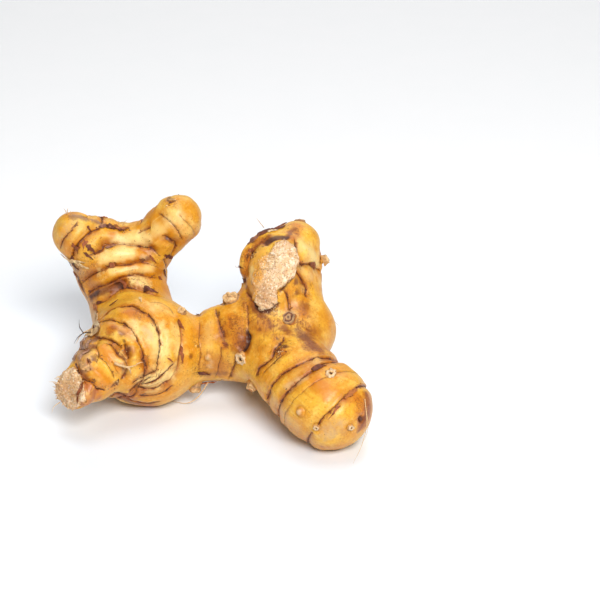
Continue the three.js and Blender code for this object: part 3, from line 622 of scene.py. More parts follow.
def plane_gap(points, at, way):
    """Signed distance from the plane through a place, above 0 on the side that the way points to."""
    return (points - np.array(at)) @ unit(way)


def in_box(points, low, high):
    return ((points > low) & (points < high)).all(1)


def near_line(points, line, reach):
    """The indices of the points inside a line's box, grown by a reach."""
    return np.flatnonzero(in_box(points, line.min(0) - reach, line.max(0) + reach))


def span_share(points, a, b):
    """How far from a to b each point's nearest place is, 0 to 1."""
    return np.clip((points - a) @ (b - a) / ((b - a) @ (b - a)), 0, 1)


def line_gap(points, line):
    """Each point's distance to a line, how far along the line its nearest place is, 0 to 1, the offset
    from there, and the line's way there."""
    distance = np.full(len(points), np.inf)
    share = np.zeros(len(points))
    offset, way = np.zeros_like(points), np.zeros_like(points)
    for index, (a, b) in enumerate(zip(line, line[1:])):
        t = span_share(points, a, b)
        off = points - a - t[:, None] * (b - a)
        gap = np.linalg.norm(off, axis=1)
        closer = gap < distance
        distance[closer] = gap[closer]
        share[closer] = ((index + t) / (len(line) - 1))[closer]
        offset[closer] = off[closer]
        way[closer] = unit(b - a)
    return distance, share, offset, way


# ---------------- The plain sweep: the lobes' balls, blended ----------------

LobeFacts = namedtuple("LobeFacts", "distance whole core direction")
SWEEPS = {name: curve(chain, STEPS_PER_SPAN) for name, chain in LOBES.items()}
# A lobe is measured no further than this from its skin, in mm.
FAR = 8.0


def soft_most(first, second, softness):
    most = np.maximum(first, second)
    total = np.exp((first - most) / softness) + np.exp((second - most) / softness)
    return most + softness * np.log(total)


def soft_least(distances, softness):
    least = distances.min(1)
    total = np.exp((least[:, None] - distances) / softness).sum(1)
    return least - softness * np.log(total)


def lobe_facts(points, name):
    """Distance to one lobe's skin with its break and without, the nearest place on its middle line, and
    that line's direction. A point that is well away from the lobe just gets a long distance."""
    balls = SWEEPS[name]
    centers, radii = balls[:, :3], balls[:, 3:]
    close = in_box(points, (centers - radii).min(0) - FAR, (centers + radii).max(0) + FAR)
    here = points[close]
    whole = np.full(len(here), np.inf)
    core, direction = np.zeros_like(here), np.zeros_like(here)
    for a, b in zip(balls, balls[1:]):
        t = span_share(here, a[:3], b[:3])
        nearest = a[:3] + t[:, None] * (b[:3] - a[:3])
        gap = np.linalg.norm(here - nearest, axis=1) - (a[3] + t * (b[3] - a[3]))
        closer = gap < whole
        whole[closer] = gap[closer]
        core[closer] = nearest[closer]
        direction[closer] = unit(b[:3] - a[:3])
    distance = whole
    if name in BREAKS:
        distance = soft_most(whole, plane_gap(here, *BREAKS[name]), BROKEN_EDGE)
    facts = []
    for part, empty in ((distance, 2 * FAR), (whole, 2 * FAR), (core, 0.0), (direction, 0.0)):
        full = np.full((len(points), *part.shape[1:]), float(empty))
        full[close] = part
        facts.append(full)
    return LobeFacts(*facts)


def skin_distance(points):
    return soft_least(np.stack([lobe_facts(points, name).distance for name in LOBES], 1), BLEND)


def skin_slope(points, here):
    probe = 0.1
    ahead = [skin_distance(points + probe * axis) for axis in np.eye(3)]
    return (np.stack(ahead, 1) - here[:, None]) / probe


def settle(points, rounds):
    """Moves points onto the skin, and gives the way out of it there."""
    points = np.array(points, float)
    for _ in range(rounds):
        here = skin_distance(points)
        slope = skin_slope(points, here)
        points = points - slope * (here / np.maximum((slope**2).sum(1), 0.3))[:, None]
    return points, unit(slope)


class Noise:
    """Smooth gradient noise in space, about -1 to 1, the same on each run."""

    def __init__(self, seed):
        draw = np.random.RandomState(seed)
        self.order = draw.permutation(256)
        self.slopes = unit(draw.normal(size=(256, 3)))

    def __call__(self, points, size):
        scaled = np.asarray(points, float) / size
        cell = np.floor(scaled).astype(int)
        inside = scaled - cell
        ease = inside**3 * (inside * (inside * 6 - 15) + 10)
        total = np.zeros(len(scaled))
        for corner in np.ndindex(2, 2, 2):
            x, y, z = ((cell + corner) & 255).T
            pick = self.order[(self.order[(self.order[x] + y) & 255] + z) & 255]
            rise = ((inside - corner) * self.slopes[pick]).sum(1)
            total += rise * np.where(corner, ease, 1 - ease).prod(1)
        return total * 1.6


wave = Noise(1)

# ---------------- The skin ----------------

# The step of the fine grid, in mm, and the most triangles that the finished skin may have.
VOXEL = 0.40
MOST_TRIANGLES = 196000
# Distances to a seam are kept up to this, in mm, and seams sink the skin no deeper than this.
SEAM_REACH = 2.2
DEEPEST_SEAM = -2.4
# A ring's width, in the measure of the creases' widths.
RING_WIDTH = 0.6
CAMERA_TILT = math.radians(28)
TO_CAMERA = np.array([0, -math.cos(CAMERA_TILT), math.sin(CAMERA_TILT)])
# The bud's broken face and its rim lie where x is below these, and the shoot's where x is above 0.
BUD_FACE_LIMIT, BUD_RIM_LIMIT = -35, -38
# The way that torn fibres lie on the shoot's broken face.
SCAR_FIBRES = (0.35, 0.45, 0.8)
# How many seeded blots of a kind the sides that face away get.
HIDDEN_BLOTS = {"orange": 26, "brown": 16, "pink": 8, "pale": 14, "rusty": 24}


def seam_profile(distance, strength, width):
    """Height of the skin by a seam, in mm: it swells up to the seam, drops, and swells again past it."""
    swell = -0.66 * strength * hump(distance, 0, 1.9)
    lip = 0.26 * np.minimum(strength, 1.3) * hump(distance, -0.6, 0.5)
    cleft = -0.36 * np.minimum(strength, 1.4) * hump(distance, 0.15, 0.24 + 0.08 * width)
    return swell + lip + cleft


class Crease:
    """A smooth line of points on the skin, with a signed distance from it."""

    def __init__(self, strength, width, knots):
        self.strength = strength
        self.width = width
        self.line = curve(settle(knots, 3)[0], 5)

    def read(self, points, normals):
        """The near points' indices, signed distance, and how plain the crease is there."""
        near = near_line(points, self.line, 4)
        distance, share, offset, way = line_gap(points[near], self.line)
        signed = distance * np.sign((offset * np.cross(normals[near], way)).sum(1))
        shown = off_ends(share, 0, 0.14) * smooth(-distance, -3.6, -2.6)
        return near, signed, shown


CREASE_LINES = [Crease(*crease) for crease in CREASES.values()]
FOLD_LINES = [(rise, radius, curve(settle(knots, 3)[0], 4)) for rise, radius, knots in FOLDS]


def blot_mask(points, blots, grain):
    """How much of a kind of blot there is at each point: soft spots or strokes with uneven edges."""
    mask = np.zeros(len(points))
    for x, y, z, radius, strength, *end in blots:
        line = np.array([(x, y, z), end[0] if end else (x, y, z + 0.01)])
        near = near_line(points, line, 1.8 * radius)
        gap = line_gap(points[near], line)[0] / radius
        value = strength * smooth(1 - gap + 0.28 * grain[near], -0.2, 0.95)
        mask[near] = np.maximum(mask[near], value)
    return mask


def thin_skin(points):
    """Where a thin yellow skin is left on the shoot's broken face."""
    return blot_mask(points, BLOTS["yellow"], np.zeros(len(points)))


class Survey:
    """What is known of the skin at some of its points: fibres, cut faces, seams and height."""

    def __init__(self, points, normals):
        self.points = points
        self.normals = normals
        self.facts = {name: lobe_facts(points, name) for name in LOBES}
        self.weights = self.region_weights()
        self.grain, self.along = self.fibre_places()
        self.thin = thin_skin(points)
        self.cut = self.cut_faces()
        self.read_seams()
        self.height = self.read_height()

    def region_weights(self):
        """How much each point belongs to each region, from 0 to 1."""
        least = {
            region: np.min([self.facts[name].distance for name in names], axis=0)
            for region, names in REGIONS.items()
        }
        nearest = np.min(list(least.values()), axis=0)
        raw = {region: np.exp((nearest - gap) / 1.2) for region, gap in least.items()}
        total = sum(raw.values())
        return {region: weight / total for region, weight in raw.items()}

    def fibre_places(self):
        """Each point's offset from its lobe's middle line, and its place along it: fibres run along."""
        nearest = np.argmin([self.facts[name].distance for name in LOBES], axis=0)
        grain = np.zeros_like(self.points)
        along = np.zeros(len(self.points))
        for index, name in enumerate(LOBES):
            own = nearest == index
            lobe = self.facts[name]
            grain[own] = (self.points - lobe.core)[own]
            along[own] = (lobe.core * lobe.direction).sum(1)[own]
        return grain, along

    def cut_faces(self):
        """Distance in from the rim of a broken end's face, in mm, and below 0 off the face."""
        off = np.abs(plane_gap(self.points, *BUD_BREAK))
        depths = [np.minimum(-self.facts["bud"].whole, 3 * (1.1 - off))]
        for x, y, z, radius in STEM_SCAR + BUD_SCAR:
            depths.append(radius - 0.25 - np.linalg.norm(self.points - (x, y, z), axis=1))
        inside = -soft_least(-np.stack(depths, 1), 0.5) - 0.7 * self.thin
        return inside + 0.5 * wave(self.points + 60, 2.6) + 0.32 * wave(self.points + 61, 1.0)

    def read_seams(self):
        """Signed distance to the nearest seam, how plain and wide it is there, and the seams' relief."""
        count = len(self.points)
        self.seam = np.full(count, 9.0)
        self.seam_near = np.zeros(count)
        self.seam_width = np.ones(count)
        self.seam_rank = np.full(count, 99.0)
        self.relief = np.zeros(count)
        self.off_cut = smooth(-self.cut, -0.2, 0.4)
        wobble = 0.5 * wave(self.points, 6) + 0.2 * wave(self.points + 40, 1.8)
        self.note_rings(wobble)
        for crease in CREASE_LINES:
            where, distance, shown = crease.read(self.points, self.normals)
            self.note_seam(where, distance + 0.45 * wobble[where], crease.strength * shown, crease.width)
        self.seam_near *= 1 - smooth(np.abs(self.seam), 1.3, 2.0)
        self.seam = np.clip(self.seam, -SEAM_REACH, SEAM_REACH)

    def note_rings(self, wobble):
        everywhere = np.arange(len(self.points))
        for region, rings in RINGS.items():
            belongs = smooth(self.weights[region], 0.35, 0.75)
            for number, (at, tipward, strength, *kept) in enumerate(rings):
                distance = plane_gap(self.points, at, tipward) + wobble
                shown = strength * belongs * smooth(wave(self.points + 17 * number, 5), -0.8, -0.3)
                for place, way in kept:
                    shown = shown * smooth(plane_gap(self.points, place, way), -1.5, 1.5)
                self.note_seam(everywhere, distance, shown, RING_WIDTH)

    def note_seam(self, where, distance, shown, width):
        """Adds a seam's relief, and keeps its distance where no nearer or plainer seam was met."""
        shown = shown * self.off_cut[where]
        self.relief[where] += seam_profile(distance, shown, width)
        rank = np.abs(distance) / width + 4 * (1 - np.minimum(shown, 1))
        better = rank < self.seam_rank[where]
        chosen = where[better]
        self.seam_rank[chosen] = rank[better]
        self.seam[chosen] = distance[better]
        self.seam_near[chosen] = np.minimum(shown, 1.2)[better]
        self.seam_width[chosen] = width

    def read_height(self):
        """How far the skin stands out from the plain sweep, in mm."""
        points = self.points
        height = 0.42 * wave(points, 11) + 0.17 * wave(points + 90, 4.2) + 0.05 * wave(points + 50, 1.5)
        height += np.maximum(self.relief, DEEPEST_SEAM)
        self.raise_features(height)
        on_cut = smooth(self.cut, 0.0, 0.6)
        self.raise_cut_faces(height, on_cut)
        sure = smooth(np.max(list(self.weights.values()), axis=0), 0.7, 0.95) * (1 - on_cut)
        lengthwise = np.c_[self.along, 0.1 * self.grain[:, 0], 0.1 * (self.grain[:, 1] + self.grain[:, 2])]
        height += 0.07 * sure * wave(lengthwise, 1.3)
        return height

    def raise_features(self, height):
        """Adds the bumps, the folds and the warts to a height."""
        for x, y, z, radius, rise in BUMPS:
            gap = np.linalg.norm(self.points - (x, y, z), axis=1) / radius
            height += rise * np.exp(-((1.3 * gap) ** 2))
        for rise, radius, line in FOLD_LINES:
            near = near_line(self.points, line, 3 * radius)
            gap, share, _, _ = line_gap(self.points[near], line)
            height[near] += rise * off_ends(share, -0.1, 0.2) * hump(gap, 0, radius)
        for x, y, z, radius, rise in WARTS:
            gap = np.linalg.norm(self.points - (x, y, z), axis=1) / radius
            height += rise * np.exp(-((1.25 * gap) ** 4)) - 0.32 * hump(gap, 1.25, 0.24)

    def raise_cut_faces(self, height, on_cut):
        """Adds the torn fibres, the rims and the lumps of the broken faces to a height."""
        points = self.points
        lie = unit(SCAR_FIBRES)
        across = unit(np.cross(SHOOT_BREAK[1], SCAR_FIBRES))
        fibre_place = points - 0.82 * (points @ lie)[:, None] * lie
        fibres = wave(fibre_place + 7 * across, 1.1) + 0.7 * wave(points + 31, 1.6)
        bud_cut = on_cut * (points[:, 0] < BUD_FACE_LIMIT)
        rim = hump(self.cut, 0.3, 0.5)
        height += on_cut * 0.16 * fibres + bud_cut * 0.5 * wave(points + 11, 2.2) - 0.15 * rim
        height += 1.1 * bud_cut * wave(points + 13, 5.0)
        bud_rim = hump(self.cut, 0, 0.9) * (points[:, 0] < BUD_RIM_LIMIT)
        height += bud_rim * (0.6 * wave(points + 17, 2.4) + 0.4 * wave(points + 19, 1.3))
        stump = smooth(self.cut, -0.3, 0.4) * (points[:, 0] > 0) * (1 - 0.85 * self.thin)
        height += 0.75 * stump - 0.35 * smooth(self.cut, 1.0, 4.0) * stump


def fine_copy():
    """The CAD rhizome's mesh, remeshed fine, as points in mm and faces."""
    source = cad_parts["rhizome"]
    copy = bpy.data.objects.new("fine_copy", source.data.copy())
    bpy.context.scene.collection.objects.link(copy)
    remesh = copy.modifiers.new("remesh", "REMESH")
    remesh.mode = "VOXEL"
    remesh.voxel_size = VOXEL * MM
    made = copy.evaluated_get(bpy.context.evaluated_depsgraph_get()).to_mesh()
    points = np.empty(len(made.vertices) * 3)
    made.vertices.foreach_get("co", points)
    faces = np.empty(len(made.loops), int)
    made.loops.foreach_get("vertex_index", faces)
    assert len(made.loops) == 4 * len(made.polygons)
    copy.to_mesh_clear()
    bpy.data.objects.remove(copy)
    return points.reshape(-1, 3) / MM, faces.reshape(-1, 4)


def add_object(name, data):
    made = bpy.data.objects.new(name, data)
    bpy.context.scene.collection.objects.link(made)
    return made


def make_mesh(name, points, faces, material=None):
    """A new object from points in mm."""
    mesh = bpy.data.meshes.new(name)
    mesh.from_pydata((np.asarray(points) * MM).tolist(), [], [tuple(map(int, face)) for face in faces])
    mesh.polygons.foreach_set("use_smooth", [True] * len(mesh.polygons))
    if material:
        mesh.materials.append(material)
    mesh.update()
    return add_object(name, mesh)


def store(mesh, name, values):
    """Keeps a number or a vector for each point of a mesh."""
    kind, field = ("FLOAT", "value") if values.ndim == 1 else ("FLOAT_VECTOR", "vector")
    mesh.attributes.new(name, kind, "POINT").data.foreach_set(field, values.astype(np.float32).ravel())


def stored_vectors(mesh, name):
    values = np.empty(3 * len(mesh.vertices), np.float32)
    mesh.attributes[name].data.foreach_get("vector", values)
    return values.reshape(-1, 3).astype(float)


def shaped_skin():
    """The skin's mesh, shaped on a fine grid and thinned where it is smooth. Its attribute "plain" holds
    each point's place on the plain sweep."""
    points, faces = fine_copy()
    points, normals = settle(points, 2)
    moved = points + normals * Survey(points, normals).height[:, None]
    moved[:, 2] = np.maximum(moved[:, 2], 0)
    rough = make_mesh("rough_skin", moved, faces)
    store(rough.data, "plain", points)
    thin = rough.modifiers.new("thin", "DECIMATE")
    thin.ratio = min(1.0, MOST_TRIANGLES / (2 * len(faces)))
    mesh = bpy.data.meshes.new_from_object(rough.evaluated_get(bpy.context.evaluated_depsgraph_get()))
    bpy.data.objects.remove(rough)
    return mesh


def make_body(material):
    """The skin's piece, with what its material reads stored at each point."""
    mesh = shaped_skin()
    mesh.name = "rhizome_skin"
    mesh.materials.clear()
    mesh.materials.append(material)
    body = add_object("rhizome_skin", mesh)
    plain, normals = settle(stored_vectors(mesh, "plain"), 1)
    mesh.attributes.remove(mesh.attributes["plain"])
    survey = Survey(plain, normals)
    for name in ("grain", "along", "seam", "seam_near", "seam_width", "cut", "height"):
        store(mesh, name, getattr(survey, name))
    uneven = wave(plain + 3, 2.2) + 0.5 * wave(plain + 23, 0.9)
    for kind, blots in BLOTS.items():
        store(mesh, kind, blot_mask(plain, blots + hidden_blots(kind, plain, normals), uneven))
    return body, survey


def hidden_blots(kind, points, normals):
    """Seeded blots of a kind for the sides that face away."""
    count = HIDDEN_BLOTS.get(kind, 0)
    draw = np.random.RandomState(100 + count)
    away = np.flatnonzero(normals @ TO_CAMERA < -0.05)
    low = np.flatnonzero((normals[:, 2] < -0.5) & (points[:, 2] < 8))
    chosen = draw.choice(low if kind == "pink" else away, count)
    return [(*points[i], draw.uniform(1.2, 3.2), draw.uniform(0.4, 0.9)) for i in chosen]


# ---------------- Papery scales, root stubs, rootlets and crumbs ----------------


def linear(red, green, blue):
    """A colour given as it looks on a screen, 0 to 255, as the linear one that shaders use."""
    shares = [value / 255 for value in (red, green, blue)]
    return (*(s / 12.92 if s <= 0.04045 else ((s + 0.055) / 1.055) ** 2.4 for s in shares), 1.0)


SCREEN_TINTS = {
    "dark": (112, 60, 38), "red": (146, 80, 42), "purple": (138, 94, 74), "mauve": (172, 134, 110),
    "sheath": (176, 108, 54), "tan": (206, 160, 104), "grey": (172, 142, 110), "pale": (240, 200, 144),
    "cream": (230, 202, 162), "hole": (70, 40, 28), "thread": (226, 190, 140), "skin": (214, 150, 70),
}
TINTS = {name: linear(*color)[:3] for name, color in SCREEN_TINTS.items()}

# Forms of a root's stub, for a radius and a height of 1.
STUB_FORMS = {
    # kind: (radius, height) pairs, their tints, roughness, how much the rim is lobed
    "star": (
        [
            (1.35, -0.5), (1.15, 0.05), (1, 0.5), (1, 0.85), (0.9, 1.05), (0.75, 1.05), (0.6, 0.95),
            (0.48, 0.9), (0.36, 0.7), (0.28, 0.3), (0.05, 0.1),
        ],
        ["skin", "tan", "tan", "pale", "cream", "cream", "cream", "pale", "tan", "hole", "hole"],
        0.16, 0.12,
    ),
    "tan": (
        [
            (1.35, -0.5), (1.15, 0.1), (1.02, 0.45), (1, 0.75), (0.92, 0.95), (0.75, 1.06), (0.55, 1),
            (0.35, 1.04), (0.2, 1), (0.05, 0.96),
        ],
        ["skin", "tan", "grey", "tan", "pale", "pale", "tan", "pale", "tan", "grey"],
        0.24, 0.05,
    ),
    "grey": (
        [
            (1.35, -0.5), (1.15, 0.1), (1, 0.5), (1, 0.9), (0.84, 1.08), (0.68, 0.85), (0.52, 0.8),
            (0.4, 0.95), (0.2, 0.95), (0.05, 0.8),
        ],
        ["skin", "sheath", "grey", "tan", "grey", "dark", "purple", "tan", "grey", "dark"],
        0.15, 0.04,
    ),
    "bud": (
        [(1.4, -0.6), (1.2, 0), (1.05, 0.35), (1, 0.6), (0.85, 0.85), (0.6, 1), (0.35, 1.05), (0.05, 1.08)],
        ["skin", "skin", "tan", "pale", "tan", "pale", "sheath", "tan"],
        0.2, 0.08,
    ),
}

# Heaps of crumbs: (middle, spread, count).
CRUMB_HEAPS = [
    ((23.5, -21.2, 28.6), 2.4, 46), ((14, 9, 48), 2.6, 34), ((-13.4, 24.6, 60.4), 2.0, 12),
    ((-29, 26.4, 50.3), 2.4, 24), ((-30, -22, 17), 2.0, 26), ((21, -4.8, 35), 2.4, 20),
    ((-33, -25, 18), 2.4, 14), ((-26.3, -17.3, 26.6), 1.0, 10), ((13.6, 11.4, 47.6), 1.4, 14),
]

# The step of a sheet's grid, its thickness, and the size of the least crumb, in mm.
SHEET_STEP = 0.34
SHEET_THICKNESS = 0.13
LEAST_CRUMB = 0.12
STUB_SIDES = 30
# Seeded growths: how many there are, and how far apart they are kept, in mm.
HIDDEN_SHEETS = (60, 3.5)
SEEN_CRUMBS = (190, 1.0)
HIDDEN_CRUMBS = (160, 1.2)
HIDDEN_STUBS = (13, 9)
HIDDEN_ROOTLETS = (12, 9)
# How many torn fibres the broken faces of the bud and the shoot have.
BUD_FIBRE_COUNT, SCAR_FIBRE_COUNT = 150, 70
GROWTH_SEED = 11
# Each sheet and stub has a seed of its own, counted on from these.
SHEET_SEED, HIDDEN_SHEET_SEED, STUB_SEED, HIDDEN_STUB_SEED = 40, 200, 70, 300


class Gather:
    """Collects small meshes with a tint at each point, and makes one object of them."""

    def __init__(self):
        self.points, self.faces, self.tints, self.count = [], [], [], 0

    def add(self, points, faces, tints):
        points = np.asarray(points, float)
        self.faces += [tuple(self.count + corner for corner in face) for face in faces]
        self.points.append(points)
        self.tints.append(np.broadcast_to(np.asarray(tints, float), (len(points), 3)))
        self.count += len(points)

    def build(self, name, material):
        points = np.vstack(self.points)
        points[:, 2] = np.maximum(points[:, 2], 0.02)
        made = make_mesh(name, points, self.faces, material)
        store(made.data, "tint", np.vstack(self.tints))
        return made


class Ground:
    """The finished skin, to lay things on."""

    def __init__(self, body):
        mesh = body.data
        points = np.empty(3 * len(mesh.vertices))
        mesh.vertices.foreach_get("co", points)
        self.points = points.reshape(-1, 3) / MM
        polygons = [tuple(polygon.vertices) for polygon in mesh.polygons]
        self.tree = BVHTree.FromPolygons([tuple(point) for point in self.points], polygons)

    def meet(self, points):
        """The skin's points nearest to some points, and the way out there."""
        spots = np.array([tuple(self.tree.find_nearest(Vector(point))[0]) for point in points])
        here = skin_distance(spots)
        return spots, unit(skin_slope(spots, here))

    def spaced_spots(self, draw, count, gap, allowed):
        """The indices of some allowed points of the skin, kept a gap apart."""
        chosen = []
        for index in draw.permutation(np.flatnonzero(allowed)):
            if all(np.linalg.norm(self.points[index] - self.points[other]) > gap for other in chosen):
                chosen.append(index)
            if len(chosen) == count:
                break
        return chosen


def any_tint(draw, *names):
    return TINTS[names[draw.randint(len(names))]]


def grid_faces(rows, columns, start=0, flip=False):
    faces = []
    for row in range(rows - 1):
        for column in range(columns - 1):
            a = start + row * columns + column
            face = (a, a + 1, a + columns + 1, a + columns)
            faces.append(face[::-1] if flip else face)
    return faces


def tube_faces(rings, sides, start=0):
    """The faces between rings of points that follow one another."""
    faces = []
    for ring in range(rings - 1):
        a, b = start + ring * sides, start + (ring + 1) * sides
        for side in range(sides):
            after = (side + 1) % sides
            faces.append((a + side, a + after, b + after, b + side))
    return faces


def sheet_faces(rows, columns):
    """A top, a bottom and the narrow edge between them, on two grids of points."""
    rim = [row * columns for row in range(rows)]
    rim += [(rows - 1) * columns + column for column in range(1, columns)]
    rim += [row * columns + columns - 1 for row in range(rows - 2, -1, -1)]
    rim += list(range(columns - 2, 0, -1))
    count = rows * columns
    edge = [(a, b, b + count, a + count) for a, b in zip(rim, rim[1:] + rim[:1])]
    return grid_faces(rows, columns) + grid_faces(rows, columns, count, flip=True) + edge


def ragged_grid(draw, along, spread, taper):
    """How far to the side each point of a sheet's grid lies, in halves of its width."""
    narrowing = 1 - max(taper, 0) * along + min(taper, 0) * (1 - along)
    form = np.sin(np.pi * np.clip(along, 0.015, 0.985)) ** 0.35 * narrowing
    knots = np.linspace(0, 1, 6)
    sides = []
    for _ in range(2):
        slow = np.interp(along, knots, draw.uniform(0.35, 1.45, len(knots)))
        sides.append(form * (slow + draw.uniform(-0.17, 0.17, len(along))))
    left, right = sides
    return np.where(spread[None] < 0, spread[None] * left[:, None], spread[None] * right[:, None])


def add_sheet(gather, ground, start, end, width, tint, lift, edge_lift, taper, seed):
    """A ragged papery scale on the skin, from start to end, lifted at its edges."""
    draw = np.random.RandomState(seed)
    start, end = np.array(start, float), np.array(end, float)
    span = end - start
    rows = int(max(7, np.linalg.norm(span) / SHEET_STEP))
    columns = int(max(5, width / SHEET_STEP))
    along, spread = np.linspace(0, 1, rows), np.linspace(-1, 1, columns)
    _, middle_normal = ground.meet([(start + end) / 2])
    side = unit(np.cross(middle_normal[0], span))

    across = ragged_grid(draw, along, spread, taper)
    off_middle = np.abs(2 * along[:, None] - 1)
    slide = 0.10 * draw.uniform(-1, 1, columns)[None] * off_middle**2
    bend = draw.uniform(-0.12, 0.12) * np.sin(np.pi * along)[:, None]
    sideways = (across * width / 2) + bend * width
    flat = start + span * (along[:, None] + slide)[..., None] + side * sideways[..., None]
    spots, normals = ground.meet(flat.reshape(-1, 3))

    reach = np.maximum(np.abs(spread)[None] ** 3, off_middle**5).ravel()
    corner = 0.5 + 0.5 * wave(spots + seed, 1.7)
    wrinkle_place = np.c_[3.0 * across.ravel() * width, along.repeat(columns), np.zeros(rows * columns)]
    wrinkle = 0.10 * wave(wrinkle_place + seed, 0.9)
    height = lift + (edge_lift - lift) * reach * np.clip(corner, 0, 1.2) + wrinkle
    height = np.maximum(height, 0.03)
    top = spots + normals * (height + SHEET_THICKNESS)[:, None]
    bottom = spots + normals * (height - 0.02)[:, None]
    shade = 1 + 0.6 * wave(spots + 5, 1.0) + 0.35 * reach * (draw.rand() > 0.4)
    tints = np.clip(np.array(tint)[None] * shade[:, None], 0, 1)
    gather.add(np.vstack([top, bottom]), sheet_faces(rows, columns), np.vstack([tints, tints * 0.8]))


def add_stub(gather, ground, at, out, radius, height, kind, seed):
    """The stub of a broken root: a turned form, made uneven."""
    form, colors, rough, lobes = STUB_FORMS[kind]
    foot = ground.meet([at])[0][0]
    draw = np.random.RandomState(seed)
    out = unit(out)
    first = unit(np.cross(out, (0.3, 0.2, 0.93)))
    second = np.cross(out, first)
    turn = 2 * np.pi * np.arange(STUB_SIDES) / STUB_SIDES
    round_way = np.cos(turn)[:, None] * first + np.sin(turn)[:, None] * second
    count = draw.randint(5, 8)
    waver = 1 + lobes * np.cos(count * turn + draw.uniform(0, 6))
    waver = waver + 0.5 * rough * np.cos(2 * turn + draw.uniform(0, 6))
    points = []
    for wide, high in form:
        ring = (wide * radius * waver)[:, None] * round_way
        points.append(foot + ring + high * height * out)
    points = np.vstack(points)
    size = max(wide * radius for wide, _ in form)
    shifts = np.stack([wave(points + 31 * axis + seed, 0.55 * size) for axis in range(3)], 1)
    fine = np.stack([wave(points + 57 * axis + seed, 0.25 * size) for axis in range(3)], 1)
    points = points + rough * size * (shifts + 0.5 * fine)
    shade = 1 + 0.30 * wave(points + seed, 0.5 * size) + 0.25 * wave(points - seed, 0.22 * size)
    tints = np.repeat([TINTS[color] for color in colors], STUB_SIDES, axis=0)
    end = tuple((len(form) - 1) * STUB_SIDES + side for side in range(STUB_SIDES))
    faces = tube_faces(len(form), STUB_SIDES) + [end]
    gather.add(points, faces, np.clip(tints * shade[:, None], 0, 1))


def add_strand(gather, knots, thickness, tint, sides=6, steps=4):
    """A round fibre through some points, thinner to its end."""
    line = curve(knots, steps)
    ways = unit(np.gradient(line, axis=0))
    first = unit(np.cross(ways, (0.21, 0.37, 0.9)))
    second = np.cross(ways, first)
    share = np.linspace(0, 1, len(line))
    radii = thickness * (1 - 0.85 * share**1.5)
    turn = 2 * np.pi * np.arange(sides) / sides
    rings = line[:, None] + radii[:, None, None] * (
        np.cos(turn)[None, :, None] * first[:, None] + np.sin(turn)[None, :, None] * second[:, None]
    )
    start = tuple(range(sides))[::-1]
    end = tuple((len(line) - 1) * sides + side for side in range(sides))
    gather.add(rings.reshape(-1, 3), tube_faces(len(line), sides) + [start, end], tint)


GOLDEN = (1 + 5**0.5) / 2
CRUMB_CORNERS = unit(
    [(0, s, t * GOLDEN) for s in (-1, 1) for t in (-1, 1)]
    + [(s, t * GOLDEN, 0) for s in (-1, 1) for t in (-1, 1)]
    + [(t * GOLDEN, 0, s) for s in (-1, 1) for t in (-1, 1)]
)


def crumb_faces():
    """The faces of the icosahedron on CRUMB_CORNERS, wound to face out."""
    faces = []
    gaps = np.linalg.norm(CRUMB_CORNERS[:, None] - CRUMB_CORNERS[None], axis=2)
    near = gaps < np.sort(gaps[0])[1] * 1.01
    for a, b, c in combinations(range(12), 3):
        if near[a, b] and near[b, c] and near[a, c]:
            p, q, r = CRUMB_CORNERS[[a, b, c]]
            faces.append((a, b, c) if np.cross(q - p, r - p) @ p > 0 else (a, c, b))
    return faces


CRUMB_FACES = crumb_faces()


def add_crumbs(gather, draw, spots, normals, names, largest):
    """Small angular bits of dried skin or soil, each in one of the named tints."""
    for spot, normal in zip(spots, normals):
        tint = any_tint(draw, *names)
        size = draw.uniform(LEAST_CRUMB, largest)
        turn = unit(draw.normal(size=(3, 3)))
        corners = CRUMB_CORNERS * draw.uniform(0.55, 1.15, (12, 1)) @ turn
        corners = corners - 0.45 * (corners @ normal)[:, None] * normal
        shade = draw.uniform(0.7, 1.25)
        gather.add(spot + size * corners, CRUMB_FACES, np.clip(np.array(tint) * shade, 0, 1))


def make_scales(ground, survey, draw, material):
    """The papery scales: those of the table, seeded ones on the far sides, and crumbs along the seams."""
    scales = Gather()
    for number, (start, end, width, tint, *form) in enumerate(SHEETS):
        add_sheet(scales, ground, start, end, width, TINTS[tint], *form, SHEET_SEED + number)
    away = survey.normals @ TO_CAMERA < 0.02
    by_seam = (survey.seam_near > 0.6) & (np.abs(survey.seam) < 0.9) & (ground.points[:, 2] > 1.5)
    for number, index in enumerate(ground.spaced_spots(draw, *HIDDEN_SHEETS, away & by_seam)):
        length, width = draw.uniform(1.6, 5.0), draw.uniform(0.8, 2.2)
        way = unit(np.cross(survey.normals[index], draw.normal(size=3)))
        at = ground.points[index]
        tint = any_tint(draw, "dark", "red", "red", "purple", "sheath")
        ends = (at - way * length / 2, at + way * length / 2)
        edge_lift = draw.uniform(0.2, 0.7)
        add_sheet(scales, ground, *ends, width, tint, 0.1, edge_lift, 0.4, HIDDEN_SHEET_SEED + number)
    seen = (~away) & by_seam & (survey.cut < -1)
    for crumbs, allowed, largest in ((SEEN_CRUMBS, seen, 0.38), (HIDDEN_CRUMBS, away & by_seam, 0.42)):
        spots = ground.spaced_spots(draw, *crumbs, allowed)
        names = ("dark", "red", "hole", "tan")
        add_crumbs(scales, draw, ground.points[spots], survey.normals[spots], names, largest)
    for middle, spread, count in CRUMB_HEAPS:
        spots, normals = ground.meet(np.array(middle) + draw.normal(0, spread * 0.5, (count, 3)))
        add_crumbs(scales, draw, spots, normals, ("dark", "red", "tan", "pale"), 0.42)
    return scales.build("papery_scales", material)


